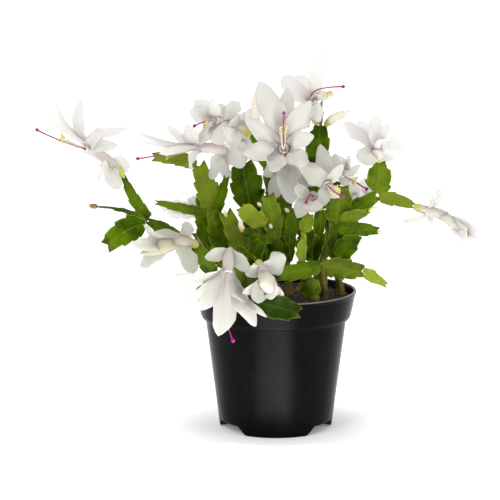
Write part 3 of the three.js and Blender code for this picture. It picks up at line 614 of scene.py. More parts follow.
def pad_skin(curve, face_hint, width, tone, bow=0.0, wood=0.0, stripe=0.0):
    """Point = centre + side * w(t) cos a + face * (h(t, a) + cup + wave + fold) + along * hook.
    w(t) = neck e^(-5t) + half * sin(k pi t^0.8)^0.62 * margin(t), with k near 0.9. The height
    h is about 0.9 mm in the middle, thins out to the edge, and has a rib of up to 0.45 mm over it.
    The hook draws each tooth, and the two end claws most, towards the tip."""
    t = np.linspace(0, 1, PAD_LEVELS)
    angle = once_around(PAD_AROUND)
    along, face, side = directions(curve, t, face_hint)
    length = curve.length()
    half = max(width / 2, 1.6)
    fullness = np.sin(RANDOM.uniform(0.87, 0.93) * np.pi * t ** 0.8) ** 0.62
    depth = RANDOM.uniform(0.13, 0.25)
    teeth = max(2.3, length / RANDOM.uniform(8.0, 11.0))
    shift = RANDOM.uniform(0.0, 0.3)
    left, left_claw = margin_of(t, teeth, shift, depth)
    right, right_claw = margin_of(t, teeth, shift + RANDOM.uniform(-0.15, 0.15), depth)
    across = np.cos(angle)[None, :]
    margin = np.where(across > 0, right[:, None], left[:, None])
    claw = np.where(across > 0, right_claw[:, None], left_claw[:, None])
    spread = PAD_NECK * np.exp(-5 * t)[:, None] + half * fullness[:, None] * margin
    end = np.clip((t[:, None] - CLAW_START) / CLAW_LENGTH, 0, 1)
    hook = np.abs(across) ** 5 * (0.022 * claw + 0.06 * end) - 0.02 * end * (1 - np.abs(across) ** 3)
    hook = hook * length * np.clip(t / 0.2, 0, 1)[:, None]
    plate = (0.3 + 0.6 * (1 - across ** 2)) * (0.8 + 0.4 * np.exp(-t / 0.1))[:, None]
    rib = 0.45 * np.exp(-(across / 0.12) ** 2) * (1 - 0.6 * t)[:, None]
    sine = np.sin(angle)[None, :]
    lift = np.sign(sine) * (plate * np.abs(sine) ** 0.6 + rib)
    cup = RANDOM.uniform(-0.22, 0.26) * half * across ** 2 * np.sin(np.pi * t)[:, None]
    wave = np.sin(2 * np.pi * (t * RANDOM.uniform(0.8, 1.6) + RANDOM.uniform(0, 1)))
    wave = 0.09 * half * across * wave[:, None] * np.clip(t / 0.3, 0, 1)[:, None]
    fold = 0.08 * half * across ** 2 * np.sin(2 * np.pi * teeth * (t - shift))[:, None]
    arch = bow * 4 * t * (1 - t)
    centre = curve.at(t) + face * arch[:, None]
    rings = carried_rings(centre, side, spread * across, face, lift + cup + wave + fold)
    rings = rings + along[:, None] * hook[..., None]
    dent = curve.at(1.0) - along[-1] * 0.02 * length
    values = {"along": t[:, None], "across": across, "tone": tone, "stripe": stripe,
              "wood": wood * np.clip(1 - t, 0, 1)[:, None]}
    return Skin(rings, values, high_middle=dent)


print("a segment has", 2 * PAD_LEVELS * PAD_AROUND, "triangles")

# %% [markdown]
# The foot of a shoot is older: its first segments have thickened into a stem with blunt ribs
# that turns woody at the soil. It is the same idea with a rounder ring: four soft ribs and a
# waist where one old segment meets the next. Each shoot has its own tone, and a few of its
# segments have another, or pale stripes. The tones also paint light and shade: a segment in
# light has a higher tone, one in shade a lower one.

# %% Shape of a woody foot, and the shoots
STEM_LEVELS = 28
STEM_AROUND = 24
STEM_WIDE, STEM_THICK = 2.7, 2.1
SEGMENT_OVERLAP = 1.0
PLANTED_DEPTH = 8.0
OLD_WOOD, YOUNG_WOOD = 0.95, 0.15
USUAL_TONE = 0.12
# tones: each shoot's own green together with painted light and shade
SHOOT_TONES_AND_LIGHT = {"shoot_slim": 0.6, "shoot_mid_left": 0.3, "shoot_left": 0.1, "shoot_inner": 0.3,
               "shoot_centre": 0.0, "shoot_right_low": 0.5, "shoot_over_rim": -0.4}
SEGMENT_TONES_AND_LIGHT = {"shoot_centre_right.6": 0.9, "shoot_slim.2": 1.0, "shoot_slim.3": 0.55,
                 "shoot_mid_left.3": 0.55, "shoot_centre.4": -0.3, "shoot_over_rim.3": -1.7}
STRIPES = {"shoot_mid_left.2": 0.4, "shoot_inner.2": 0.2, "shoot_front_left.2": 0.25}


def stem_skin(curve, face_hint, tone, wood):
    """Radius = oval * (1 + 0.14 cos 4a + 0.03 sin(9a + 20t)), swollen by 0.12 sin(3 pi t) and
    narrowed to a neck over the last seventh."""
    t = np.linspace(0, 1, STEM_LEVELS)
    angle = once_around(STEM_AROUND)
    _, face, side = directions(curve, t, face_hint)
    ribs = 1 + 0.14 * np.cos(4 * angle)[None, :] + 0.03 * np.sin(9 * angle + 20 * t[:, None])
    waist = 1 - 0.42 * np.clip((t - 0.86) / 0.14, 0, 1) ** 2
    swell = (waist * (1 + 0.12 * np.sin(3 * np.pi * t)))[:, None]
    wide = STEM_WIDE * ribs * swell * np.cos(angle)[None, :]
    thick = STEM_THICK * ribs * swell * np.sin(angle)[None, :]
    rings = carried_rings(curve.at(t), side, wide, face, thick)
    values = {"along": np.full((STEM_LEVELS, 1), 0.5), "across": 0.5, "tone": tone, "stripe": 0.0,
              "wood": wood * (1 - 0.7 * t[:, None])}
    return Skin(rings, values)


def make_shoot(name, places, tone):
    """Each place after the foot ends one segment; a place with no width ends a woody one.
    Its branches come after, each from the end of the segment that it names."""
    runs = [(places[step - 1][:3], places[step]) for step in range(1, len(places))]
    skins, tips = [], []
    for low, place in runs + [(None, branch) for branch in BRANCHES.get(name, [])]:
        if low is None:
            low, place = tips[place[0] - 1], place[1:]
        low, high = np.array(low, float), np.array(place[:3], float)
        run = unit(high - low)
        curve = straight(low - run * (SEGMENT_OVERLAP if skins else PLANTED_DEPTH), high)
        flat = len(place) == 5
        face = face_of(run, place[4] if flat else 0.0)
        label = f"{name}.{len(skins) + 1}"
        shade = SEGMENT_TONES_AND_LIGHT.get(label, tone + RANDOM.uniform(-0.4, 0.25))
        if flat:
            wood = YOUNG_WOOD if len(skins) == 1 else 0.0
            stripe = STRIPES.get(label, 0.0)
            skins.append(pad_skin(curve, face, place[3], shade, wood=wood, stripe=stripe))
        else:
            skins.append(stem_skin(curve, face, shade, OLD_WOOD))
        tips.append(high)
        remember_end(label, curve, face)
        if len(skins) == len(runs):
            ENDS[name] = ENDS[label]
    make_piece(name, skins, GREEN_SKIN, [name])


for shoot_name, shoot_places in SHOOTS.items():
    make_shoot(shoot_name, shoot_places, SHOOT_TONES_AND_LIGHT.get(shoot_name, USUAL_TONE))
print("made", len(SHOOTS), "shoots")

# %% [markdown]
# Side pads are single segments that spring from the end of a shoot or of another pad, or beside
# a joint. They use the same segment shape, each with its own width, turn and tone. The tone also
# paints light and shade: those in full light are painted more olive.

# %% Side pads
PAD_LEAN = 0.2
# tones: each pad's own green together with painted light and shade
PAD_TONES_AND_LIGHT = {"pad_right_top": 0.3, "pad_right_arm": 0.6, "pad_left_top": 0.65,
             "pad_front_low": 0.85, "pad_right_low": 0.7, "pad_low_centre": 0.15,
             "pad_right_slim": 0.4, "pad_left_lens": 0.3, "pad_centre": 0.3,
             "pad_left_broad": -0.2, "pad_top_centre": -0.1, "pad_right_toothed": 0.0}


def make_pad(name, carrier, beside, tip, width, roll, bow):
    """One segment on a curve that leaves its carrier and leans over to its tip."""
    curve = leaning_curve(carrier, beside, tip, PAD_LEAN)
    face = face_of(curve.along(0.5), roll)
    remember_end(name, curve, face)
    skin = pad_skin(curve, face, width, PAD_TONES_AND_LIGHT.get(name, USUAL_TONE), bow)
    make_piece(name, [skin], GREEN_SKIN, [name])


for pad_name, pad_row in PADS.items():
    make_pad(pad_name, *pad_row)
print("made", len(PADS), "pads")

# %% [markdown]
# A petal is barely a third of a millimetre thick and satin white, with fine veins, a trace of
# pink towards the throat, and a cream to yellow-green base where the flower meets its ovary.
# Light passes through it, so part of its shading is below the surface. The same finish covers
# the tube, because the petals are grown together there.

# %% Finish of the petals
PETAL_WHITE = (0.668, 0.64, 0.604)
PETAL_SHADE = (0.54, 0.525, 0.455)
PETAL_PAINTED_SHADE = (0.4, 0.385, 0.3)
THROAT_PINK = (0.88, 0.55, 0.64)
OVARY_GREEN = (0.5, 0.48, 0.08)


def petal_finish():
    """Colour = white, greyed a little along the veins, then dimmed by the value shade, which is
    painted shade, turned pink by pink and yellow-green by green, which are values on the points."""
    petal = Finish("white_petal", Roughness=0.55, Specular_IOR_Level=0.25, Subsurface_Weight=0.6,
                   Subsurface_Scale=0.007)
    petal.set("Subsurface Radius", (1.0, 0.92, 0.82))
    across, along = petal.value("across"), petal.value("along")
    cloud = petal.noise(120.0, 3.0)
    line = petal.math("SINE", petal.math("MULTIPLY", across, 26.0))
    vein = petal.math("ADD", petal.math("MULTIPLY", line, 0.25), cloud)
    colour = petal.mix(petal.span(vein, 0.0, 1.3, 0.4, 0.0), PETAL_WHITE, PETAL_SHADE)
    # painted shade: the value shade dims the whole flower's white
    colour = petal.mix(petal.value("shade"), colour, PETAL_PAINTED_SHADE)
    colour = petal.mix(petal.value("pink"), colour, THROAT_PINK)
    colour = petal.mix(petal.value("green"), colour, OVARY_GREEN)
    petal.set("Base Color", colour)
    petal.bump(petal.math("ADD", petal.math("MULTIPLY", line, 0.2), cloud), 0.15, 0.0003)
    petal.set("Roughness", petal.span(along, 0.0, 1.0, 0.42, 0.55))
    return petal.material


WHITE_PETAL = petal_finish()
print("petal finish ready")

# %% [markdown]
# A petal leaves the throat along the flower's axis and then turns out to its own tip. Across
# its width it is curled round the tube at its base and rolls back near its tip, and its edges
# are a little wavy. The grid runs along the petal and once around it, over its inner face and
# back over its outer face, so it is a thin closed skin and not a bare sheet.

# %% Shape of a petal and of the tube
PETAL_LEVELS = 30
PETAL_AROUND = 22
PETAL_HALF_THICKNESS = 0.17
PETAL_TWIST = 0.9
BACK_PLACE = 40.0  # flowers behind this depth turn to the light behind the plant
TUBE_LEVELS = 26
TUBE_AROUND = 28
TUBE_SHARE = 0.9


def petal_curve(root, axis, tip, rim):
    """The handles are a point on the tube's rim, one further up the axis, and the tip. The rim's
    point lies on the side that the petal turns out to."""
    tip = np.asarray(tip, dtype=float)
    reach = tip - root
    out = reach - axis * reach.dot(axis)
    beside = rim * out / max(np.linalg.norm(out), 0.12 * np.linalg.norm(reach))
    control = root + 0.8 * beside + axis * 0.3 * np.linalg.norm(reach) + reach * 0.25
    return Curve(root + beside, control, tip)


def petal_face(root, axis, reach):
    """Square to the petal, on the side of the flower's axis, and twisted towards the light."""
    across_axis = np.cross(axis, reach)
    if np.linalg.norm(across_axis) < 0.1 * np.linalg.norm(reach):
        across_axis = face_of(axis, 0.0)
    face = unit(np.cross(reach, across_axis))
    light = 1.0 if root[1] > BACK_PLACE else -1.0
    face[1] += PETAL_TWIST * light * (-1.0 if face[1] * light < 0 else 1.0)
    return unit(face)


def petal_skin(root, axis, tip, width, rim, blunt, pink=0.0, green=0.0):
    """Point = centre + side w(t) s + face (curl(t) w s^2 + waves + thickness), with s = cos a.
    w(t) = half * (0.42 + 0.58 sin(pi t / 1.1)^1.2), level from t = 0.55 on, and from t = 0.5 on
    also * (1 - ((t - 0.5) / 0.5)^p)^q, where p = 2.3 + blunt and q = 0.8 - 0.25 blunt, so that a
    blunt tip is rounder. The curl goes from 0.55 at the base to -0.3 at the tip."""
    curve = petal_curve(root, axis, tip, rim)
    face_hint = petal_face(root, axis, curve.handles[2] - root)
    t = np.linspace(0, 1, PETAL_LEVELS)
    angle = once_around(PETAL_AROUND)
    _, face, side = directions(curve, t, face_hint)
    half = width / 2
    rising = 0.42 + 0.58 * np.sin(np.pi / 2 * np.clip(t / 0.55, 0, 1)) ** 1.2
    late = np.clip((t - 0.5) / 0.5, 0, 1)
    falling = np.clip(1 - late ** (2.3 + blunt), 0, 1) ** (0.8 - 0.25 * blunt)
    s = np.cos(angle)[None, :]
    phase = RANDOM.uniform(0, 1, 4)
    frill = 1 + 0.07 * s * np.sin(2 * np.pi * (2.1 * t + phase[0]))[:, None]
    frill = frill + 0.02 * np.abs(s) * np.sin(2 * np.pi * (6.3 * t + phase[1]))[:, None]
    spread = (half * rising * falling)[:, None] * frill
    inward = (0.55 * (1 - t) ** 1.4 - 0.3 * t ** 2)[:, None]
    ruffle = 0.14 * np.sin(2 * np.pi * (t * (1.2 + phase[2]) + phase[3]))[:, None]
    groove = -0.06 * np.exp(-(s / 0.16) ** 2)
    skew = RANDOM.uniform(-0.25, 0.25) * s * np.abs(s) * t[:, None]
    rise = spread * ((inward + ruffle) * s ** 2 + groove + skew)
    sweep = RANDOM.uniform(-0.06, 0.06) * curve.length() * np.sin(np.pi * t)
    thick = PETAL_HALF_THICKNESS * np.sin(angle)[None, :] * (1.2 - 0.6 * t)[:, None]
    centre = curve.at(t) + side * sweep[:, None]
    rings = carried_rings(centre, side, spread * s, face, rise + thick)
    values = {"along": t[:, None], "across": s,
              "pink": pink * np.exp(-(t[:, None] / 0.22) ** 2),
              "green": green * np.exp(-(t[:, None] / 0.2) ** 2)}
    return Skin(rings, values)


def tube_skin(curve, mouth_radius, pink):
    """Radius from a table of places: neck, ovary with five ridges, wider part, mouth, then back
    inside. It ends a little before the curve does, where the petals have grown out of its wall."""
    outside = np.linspace(0, 1, TUBE_LEVELS)
    inside = np.array([0.985, 0.95, 0.92])
    t = TUBE_SHARE * np.concatenate([outside, inside])
    radius = np.interp(outside, [0, 0.05, 0.14, 0.24, 0.34, 0.7, 1],
                       [1.2, 2.4, 3.2, 3.2, 3.5, 4.1, mouth_radius])
    radius = np.concatenate([radius, mouth_radius * np.array([0.84, 0.55, 0.15])])
    angle = once_around(TUBE_AROUND)
    ridges = 1 + 0.06 * np.cos(5 * angle)[None, :] * np.exp(-((t[:, None] - 0.14) / 0.12) ** 2)
    throat = np.concatenate([np.zeros(TUBE_LEVELS), [0.3, 0.5, 0.8]])
    blush = pink * (0.25 * np.exp(-((t - 0.55) / 0.25) ** 2) + throat)
    values = {"along": 0.5 + 0.5 * t[:, None], "across": np.cos(angle)[None, :],
              "pink": blush[:, None], "green": (np.exp(-((t - 0.08) / 0.13) ** 2))[:, None]}
    return Skin(round_rings(curve, t, radius[:, None] * ridges, angle), values)


print("petal grid", PETAL_LEVELS, "x", PETAL_AROUND)

# %% [markdown]
# Inside the throat stand 22 fine cream filaments in a loose bundle, each with a small
# pale yellow anther, and above them one longer style, dusky rose to magenta, whose stigma is a
# tight knot of lobes. Thin round parts share one helper: rings of a small radius along a curve.

# %% Stamens and style
FILAMENTS = 22
STIGMA_LOBES = 6
STIGMA_SETBACK = 0.6
POLLEN_YELLOW = (0.72, 0.58, 0.22)
POLLEN_PALE = (0.85, 0.75, 0.4)
FILAMENT_CREAM = (0.82, 0.76, 0.62)
STYLE_ROSE = (0.25, 0.02, 0.075)
STIGMA_MAGENTA = (0.36, 0.001, 0.23)


def thread_skin(curve, radii, mark, first, last, levels, around):
    """Rings of radius r(t) along the curve, with r read from evenly spaced radii. The value called
    mark goes from first to last along it."""
    t = np.linspace(0, 1, levels)
    radius = np.interp(t, np.linspace(0, 1, len(radii)), radii)[:, None]
    rings = round_rings(curve, t, radius, once_around(around))
    return Skin(rings, {mark: first + (last - first) * t[:, None]})


def stamen_finish():
    """Cream filaments, and grainy pollen where the value anther is 1."""
    stamen = Finish("stamens", Roughness=0.6, Subsurface_Weight=0.2, Subsurface_Scale=0.002)
    grain = stamen.noise(2500.0, 2.0)
    pollen = stamen.mix(stamen.span(grain, 0.3, 0.7), POLLEN_YELLOW, POLLEN_PALE)
    stamen.set("Base Color", stamen.mix(stamen.value("anther"), FILAMENT_CREAM, pollen))
    stamen.bump(grain, 0.4, 0.0003)
    return stamen.material


def style_finish():
    """Dusky rose that turns magenta over the last part of the style, with a fine grain."""
    style = Finish("style", Roughness=0.4, Subsurface_Weight=0.1, Subsurface_Scale=0.002)
    grain = style.noise(1500.0, 2.0)
    colour = style.mix(style.span(style.value("along"), 0.55, 0.95), STYLE_ROSE, STIGMA_MAGENTA)
    style.set("Base Color", style.mix(style.span(grain, 0.2, 0.9, 0.0, 0.3), colour, STYLE_ROSE))
    style.bump(grain, 0.3, 0.0002)
    return style.material


STAMENS = stamen_finish()
STYLE = style_finish()


def stamen_skins(root, axis, style_tip):
    """Filament tips lie in a small flat cloud half way to the style's tip. Each filament bends
    over from the axis, and its anther goes on from it with a random lean."""
    goal = np.asarray(style_tip, dtype=float)
    reach = np.linalg.norm(goal - root)
    middle = root + (goal - root) * 0.5
    skins = []
    for _ in range(FILAMENTS):
        scatter = RANDOM.normal(0, 1.6, 3)
        scatter = scatter - axis * 0.6 * scatter.dot(axis)
        tip = middle + scatter
        control = root + axis * 0.4 * reach + scatter * 0.4
        filament = Curve(root + scatter * 0.25, control, tip)
        skins.append(thread_skin(filament, [0.16, 0.13, 0.11], "anther", 0.0, 0.0, 8, 5))
        lean = unit(filament.along(1.0) + RANDOM.normal(0, 0.35, 3))
        anther = straight(tip - lean * 0.4, tip + lean * 1.5)
        skins.append(thread_skin(anther, [0.2, 0.6, 0.66, 0.55, 0.15], "anther", 1.0, 1.0, 6, 6))
    return skins


def style_skins(root, axis, style_tip, back):
    """The style leaves along the axis, bent back by a given length. Short lobes that open round
    its end, each a curve from 3 mm below it to 1.15 mm beside it, make the stigma."""
    goal = np.asarray(style_tip, dtype=float)
    goal = goal - unit(goal - root) * STIGMA_SETBACK
    reach = np.linalg.norm(goal - root)
    curve = Curve(root, root + axis * 0.6 * reach + np.array([0.0, back, 0.0]), goal)
    skins = [thread_skin(curve, [0.6, 0.55, 0.5, 0.52, 0.65], "along", 0.0, 0.8, 24, 10)]
    lead = curve.along(1.0)
    face = face_of(lead, 0.0)
    side = np.cross(lead, face)
    for lobe in range(STIGMA_LOBES):
        turn = lobe / STIGMA_LOBES * 2 * math.pi
        out = face * math.cos(turn) + side * math.sin(turn)
        start = goal - lead * 3.0
        end = goal - lead * 0.7 + out * 1.15
        lobe_curve = Curve(start, start + lead * 1.2 + out * 0.9, end)
        skins.append(thread_skin(lobe_curve, [0.35, 0.6, 0.62, 0.25], "along", 1.0, 1.0, 8, 8))
    return skins


print("stamens and style ready")

# %% [markdown]
# A flower joins these: the tube on the end that carries it, its collar of short petals near the
# ovary, its long petals from the mouth, and in a flower that is still closed, a core of petals
# rolled round each other. An open flower has a style. It has stamens too, except for three whose
# throats show none. Some flowers have painted shade: their white is dimmed for the shade that the
# plant casts on them.

# %% Flowers
CLOSED_FLOWERS = {"flower_left_low", "flower_front_small", "flower_far_right"}
HIDDEN_STAMENS = CLOSED_FLOWERS | {"flower_right", "flower_low_centre", "flower_front"}
OPENING_WAYS = {"flower_front": (-0.22, -0.1, -0.97)}
COLLAR_BLUNT = {"flower_front": 0.0}
STYLE_BACK = {"flower_front": 14.0}
CORE_WIDTHS = {"flower_far_right": 0.66, "flower_left_low": 0.9}
# painted shade: how far each flower's white is dimmed
FLOWER_PAINTED_SHADES = {"flower_left_low": 1.0, "flower_front": 0.6, "flower_centre": 0.5,
                 "flower_mid_right": 0.7, "flower_low_centre": 0.5, "flower_mid_back": 0.4,
                 "flower_far_right": 0.3, "flower_left": 0.3, "flower_front_small": 0.3}
FLOWER_LEAN = 0.35
RIM_RADIUS, OPEN_MOUTH, CLOSED_MOUTH = 3.4, 3.5, 2.9
PETAL_PLACE, PETAL_PINK, MOST_BLUNT = 0.8, 0.3, 0.7
COLLAR_PLACE, COLLAR_RADIUS, COLLAR_WIDENING, COLLAR_GREEN = 0.3, 1.8, 1.2, 0.35
TUBE_PINK = 0.5
CORE_LEVELS = 30
CORE_AROUND = 26


def furled_core(tube, tips, width):
    """A closed flower's middle: petals still rolled round each other, towards the mean of two tips.
    Radius = width * profile(t) * (1 + 0.08 |sin(1.5 (a + 1.6 t))|), a spiral of three ridges."""
    goal = np.array([tip[:3] for tip in tips[:2]], dtype=float).mean(axis=0)
    start = tube.at(0.45)
    core = Curve(start, tube.at(0.95), start + (goal - start) * 0.94)
    t = np.linspace(0, 1, CORE_LEVELS)
    angle = once_around(CORE_AROUND)
    profile = np.interp(t, [0, 0.2, 0.5, 0.75, 0.92, 1], [2.6, 4.2, 6.2, 4.6, 1.7, 0.15])
    ridges = 1 + 0.08 * np.abs(np.sin(1.5 * (angle[None, :] + 1.6 * t[:, None])))
    values = {"along": t[:, None], "across": np.cos(angle)[None, :], "pink": 0.05,
              "green": 0.04 + 0.2 * (1 - t[:, None])}
    return Skin(round_rings(core, t, width * profile[:, None] * ridges, angle), values)


def make_flower(name, carrier, beside, mouth, style_tip, petals, collar):
    """The tube, petals, core and collar are one piece; stamens and style are a piece each."""
    tube = leaning_curve(carrier, beside, mouth, FLOWER_LEAN)
    axis = unit(np.array(OPENING_WAYS.get(name, tube.along(1.0))))
    root = tube.at(PETAL_PLACE)
    is_open = name not in CLOSED_FLOWERS
    skins = [tube_skin(tube, OPEN_MOUTH if is_open else CLOSED_MOUTH, TUBE_PINK)]
    for x, y, z, width in petals:
        blunt = RANDOM.uniform(0.0, MOST_BLUNT)
        skins.append(petal_skin(root, axis, (x, y, z), width, RIM_RADIUS, blunt, pink=PETAL_PINK))
    if not is_open:
        skins.append(furled_core(tube, petals, CORE_WIDTHS.get(name, 1.0)))
    collar_root, collar_axis = tube.at(COLLAR_PLACE), tube.along(COLLAR_PLACE)
    blunt = COLLAR_BLUNT.get(name, 1.0)
    for x, y, z, width in collar:
        skins.append(petal_skin(collar_root, collar_axis, (x, y, z), COLLAR_WIDENING * width,
                                COLLAR_RADIUS, blunt, green=COLLAR_GREEN))
    # painted shade: each flower's white is dimmed by its own amount
    for skin in skins:
        skin.values["shade"] = np.full(len(skin.points), FLOWER_PAINTED_SHADES.get(name, 0.0))
    make_piece(name, skins, WHITE_PETAL, [name])
    if name not in HIDDEN_STAMENS:
        stamens = stamen_skins(root, axis, style_tip)
        make_piece(f"{name}_stamens", stamens, STAMENS)
    if is_open:
        style = style_skins(root, axis, style_tip, STYLE_BACK.get(name, 0.0))
        make_piece(f"{name}_style", style, STYLE)


for flower_name, flower_row in FLOWERS.items():
    make_flower(flower_name, *flower_row)
print("made", len(FLOWERS), "flowers")

# %% [markdown]
# A bud is a closed flower: tepals wrapped in a spiral about a pointed core, cream with a
# yellow-green base. The wrap shows as shallow ridges that turn as they climb. A bud that has
# failed is peach or brown, and a few small ones sit in the joints of the segments.

# %% Buds
BUD_LEVELS = 32
BUD_AROUND = 30
BUD_FULLNESS = 0.93
BUD_BLUSHES = {"bud_left": 3.5, "bud_right": 0.6}
SMALL_BLUSH = 0.9
SMALL_BUDS = [
    ((-25, -24, 151), (-27, -27, 160.5), 4.0), ((-11, -19.5, 169), (-14, -21, 172.5), 3.0),
    ((9.2, -10, 163.5), (6.5, -12, 167), 2.8), ((-3.5, -16.8, 152), (-5, -20, 156.5), 2.8),
    ((74.6, -12, 149.8), (79, -13.5, 147), 3.2), ((-36.5, -18.3, 161), (-38.5, -20, 167), 2.8),
]
BUD_CREAM = (0.8, 0.76, 0.63)
BUD_BASE = (0.45, 0.47, 0.04)
BUD_PEACH = (0.78, 0.5, 0.2)
BUD_BROWN = (0.2, 0.13, 0.03)


def bud_finish():
    """Colour = green base to cream along the bud, then to peach and brown by the value blush."""
    bud = Finish("cream_bud", Roughness=0.45, Subsurface_Weight=0.3, Subsurface_Scale=0.002)
    bud.set("Subsurface Radius", (1.0, 0.95, 0.8))
    along = bud.value("along")
    cloud = bud.noise(250.0, 3.0)
    colour = bud.mix(bud.span(along, 0.12, 0.4), BUD_BASE, BUD_CREAM)
    blush = bud.math("MULTIPLY", bud.value("blush"), bud.span(cloud, 0.25, 0.6, 0.6, 1.1))
    colour = bud.mix(bud.span(blush, 0.0, 1.2, 0.0, 0.8), colour, BUD_PEACH)
    colour = bud.mix(bud.span(blush, 1.0, 2.0), colour, BUD_BROWN)
    bud.set("Base Color", colour)
    bud.bump(cloud, 0.25, 0.0004)
    return bud.material


CREAM_BUD = bud_finish()


def bud_skin(curve, radius, blush):
    """Radius = profile(t) * (1 + 0.09 |sin(2.5 (a + 2.2 t))|), a spiral of five ridges."""
    t = np.linspace(0, 1, BUD_LEVELS)
    angle = once_around(BUD_AROUND)
    profile = np.interp(t, [0, 0.06, 0.2, 0.45, 0.7, 0.9, 1], [0.35, 0.6, 0.85, 1, 0.85, 0.42, 0.08])
    ridges = 1 + 0.09 * np.abs(np.sin(2.5 * (angle[None, :] + 2.2 * t[:, None])))
    rings = round_rings(curve, t, radius * profile[:, None] * ridges * BUD_FULLNESS, angle)
    return Skin(rings, {"along": t[:, None], "blush": blush * (1 - 0.7 * t[:, None])})


for bud_name, (carrier, beside, tip, thickness) in BUDS.items():
    bud_curve = leaning_curve(carrier, beside, tip, PAD_LEAN)
    bud = bud_skin(bud_curve, thickness / 2, BUD_BLUSHES.get(bud_name, 0.0))
    make_piece(bud_name, [bud], CREAM_BUD, [bud_name])
small_buds = [bud_skin(straight(start, tip), thickness / 2, SMALL_BLUSH)
              for start, tip, thickness in SMALL_BUDS]
make_piece("small_buds", small_buds, CREAM_BUD)
print("made", len(BUDS), "buds and", len(SMALL_BUDS), "small ones")

# %% [markdown]
# The pot is thin injection-moulded plastic: a thick band under the rim, a body that narrows
# down to three wide feet, and three notches between them. Its skin is one surface: a profile
# goes out along the underside, up the outside, over the lip, down the inside and back along the
# floor, and at each angle the underside is lifted by the height of the notch at that place.

# %% Shape of the pot
POT_HEIGHT = 104.0
POT_BASE_RADIUS = 42.0
POT_BODY_TOP_RADIUS = 52.7
POT_BAND_LOW_RADIUS = 56.3
POT_RIM_RADIUS = 60.0
POT_BAND_HEIGHT = 20.5
POT_WALL = 1.4
NOTCH_HEIGHT = 6.0
NOTCH_HALF_WIDTH = 20.0
NOTCH_TOP_HALF_WIDTH = 11.0
NOTCH_INNER_RADIUS = 26.0
NOTCH_END_SLOPE = 1.5
NOTCH_TURNS = [(notch + 0.5) / 3 * 2 * math.pi for notch in range(3)]
POT_AROUND = 240
CORNER_REACH, CORNER_SHARE, CORNER_STEPS = 1.2, 0.35, 5
LONGEST_STEP = 2.4


def smooth(x):
    """A step from 0 to 1 with level ends: 3x^2 - 2x^3."""
    x = np.clip(x, 0, 1)
    return x * x * (3 - 2 * x)


def notch_lift(x, y, extra=0.0):
    """The height of the underside: notch height * a smooth step down each flank * a smooth step
    at the notch's inner end. The extra makes the notch that much larger all round."""
    lift = np.zeros_like(x)
    slope = NOTCH_HALF_WIDTH - NOTCH_TOP_HALF_WIDTH
    for turn in NOTCH_TURNS:
        out = x * math.sin(turn) - y * math.cos(turn)
        beside = np.abs(x * math.cos(turn) + y * math.sin(turn))
        flank = smooth((NOTCH_HALF_WIDTH + extra - beside) / slope)
        inner_end = smooth((out - NOTCH_INNER_RADIUS + extra) / NOTCH_END_SLOPE)
        lift = np.maximum(lift, NOTCH_HEIGHT * flank * inner_end)
    return lift


def rounded(profile):
    """Cuts each inner corner b of a profile and puts (1-t)^2 a + 2t(1-t) b + t^2 c in its place,
    with a and c a short way before and after it."""
    points = [profile[0]]
    for before, corner, after in zip(profile, profile[1:], profile[2:]):
        a, b, c = (np.array(p, dtype=float) for p in (before, corner, after))
        sides = [np.linalg.norm(b - a), np.linalg.norm(c - b)]
        reach = min(CORNER_REACH, CORNER_SHARE * sides[0], CORNER_SHARE * sides[1])
        start, end = b + unit(a - b) * reach, b + unit(c - b) * reach
        for t in np.linspace(0, 1, CORNER_STEPS):
            points.append(tuple((1 - t) ** 2 * start + 2 * t * (1 - t) * b + t ** 2 * end))
    points.append(profile[-1])
    return np.array(points)


def with_steps(profile, longest):
    """Adds points so that no stretch of the profile is longer than a given length."""
    out = [profile[0]]
    for a, b in zip(profile, profile[1:]):
        count = max(1, int(np.ceil(np.linalg.norm(b - a) / longest)))
        out += [a + (b - a) * (step / count) for step in range(1, count + 1)]
    return np.array(out)


def pot_profile():
    """(radius, height) pairs from the middle of the underside, up the wall and over the lip, and
    down the inside to the middle of the floor."""
    step = POT_HEIGHT - POT_BAND_HEIGHT
    wall = POT_WALL
    outer = [(0.01, 0), (POT_BASE_RADIUS, 0), (POT_BODY_TOP_RADIUS, step - 0.6),
             (POT_BAND_LOW_RADIUS - 1.2, step - 0.4), (POT_BAND_LOW_RADIUS, step + 2.2),
             (POT_RIM_RADIUS - 0.5, POT_HEIGHT - 2.4), (POT_RIM_RADIUS, POT_HEIGHT - 1.9),
             (POT_RIM_RADIUS, POT_HEIGHT), (POT_RIM_RADIUS - wall - 0.5, POT_HEIGHT)]
    inner = [(POT_BAND_LOW_RADIUS - wall - 0.4, step + 3.2), (POT_BODY_TOP_RADIUS - wall, step - 0.2),
             (POT_BASE_RADIUS - wall, wall), (0.01, wall)]
    return with_steps(rounded(outer + inner), LONGEST_STEP)


def pot_skin():
    """Point = (r cos a, r sin a, h + lift * (1 - h / (3 notch heights))), with no lift above that."""
    profile = pot_profile()
    angle = once_around(POT_AROUND)
    radius, height = profile[:, 0][:, None], profile[:, 1][:, None]
    x, y = radius * np.cos(angle), radius * np.sin(angle)
    fade = np.clip(1 - height / (3 * NOTCH_HEIGHT), 0, 1)
    rings = np.stack([x, y, height + notch_lift(x, y) * fade], axis=-1)
    return Skin(rings, {"along": height / POT_HEIGHT})


print("pot profile has", len(pot_profile()), "points")

# %% [markdown]
# Black pot plastic is not flat black: it has a soft gloss that is a little uneven, and tiny pale
# scuffs towards the foot. The top of the lip is painted grey, a painted highlight for the pale line
# of light along the rim. The drain holes, one above each notch, are cut with a boolean, since a hole
# is not part of a turned profile.

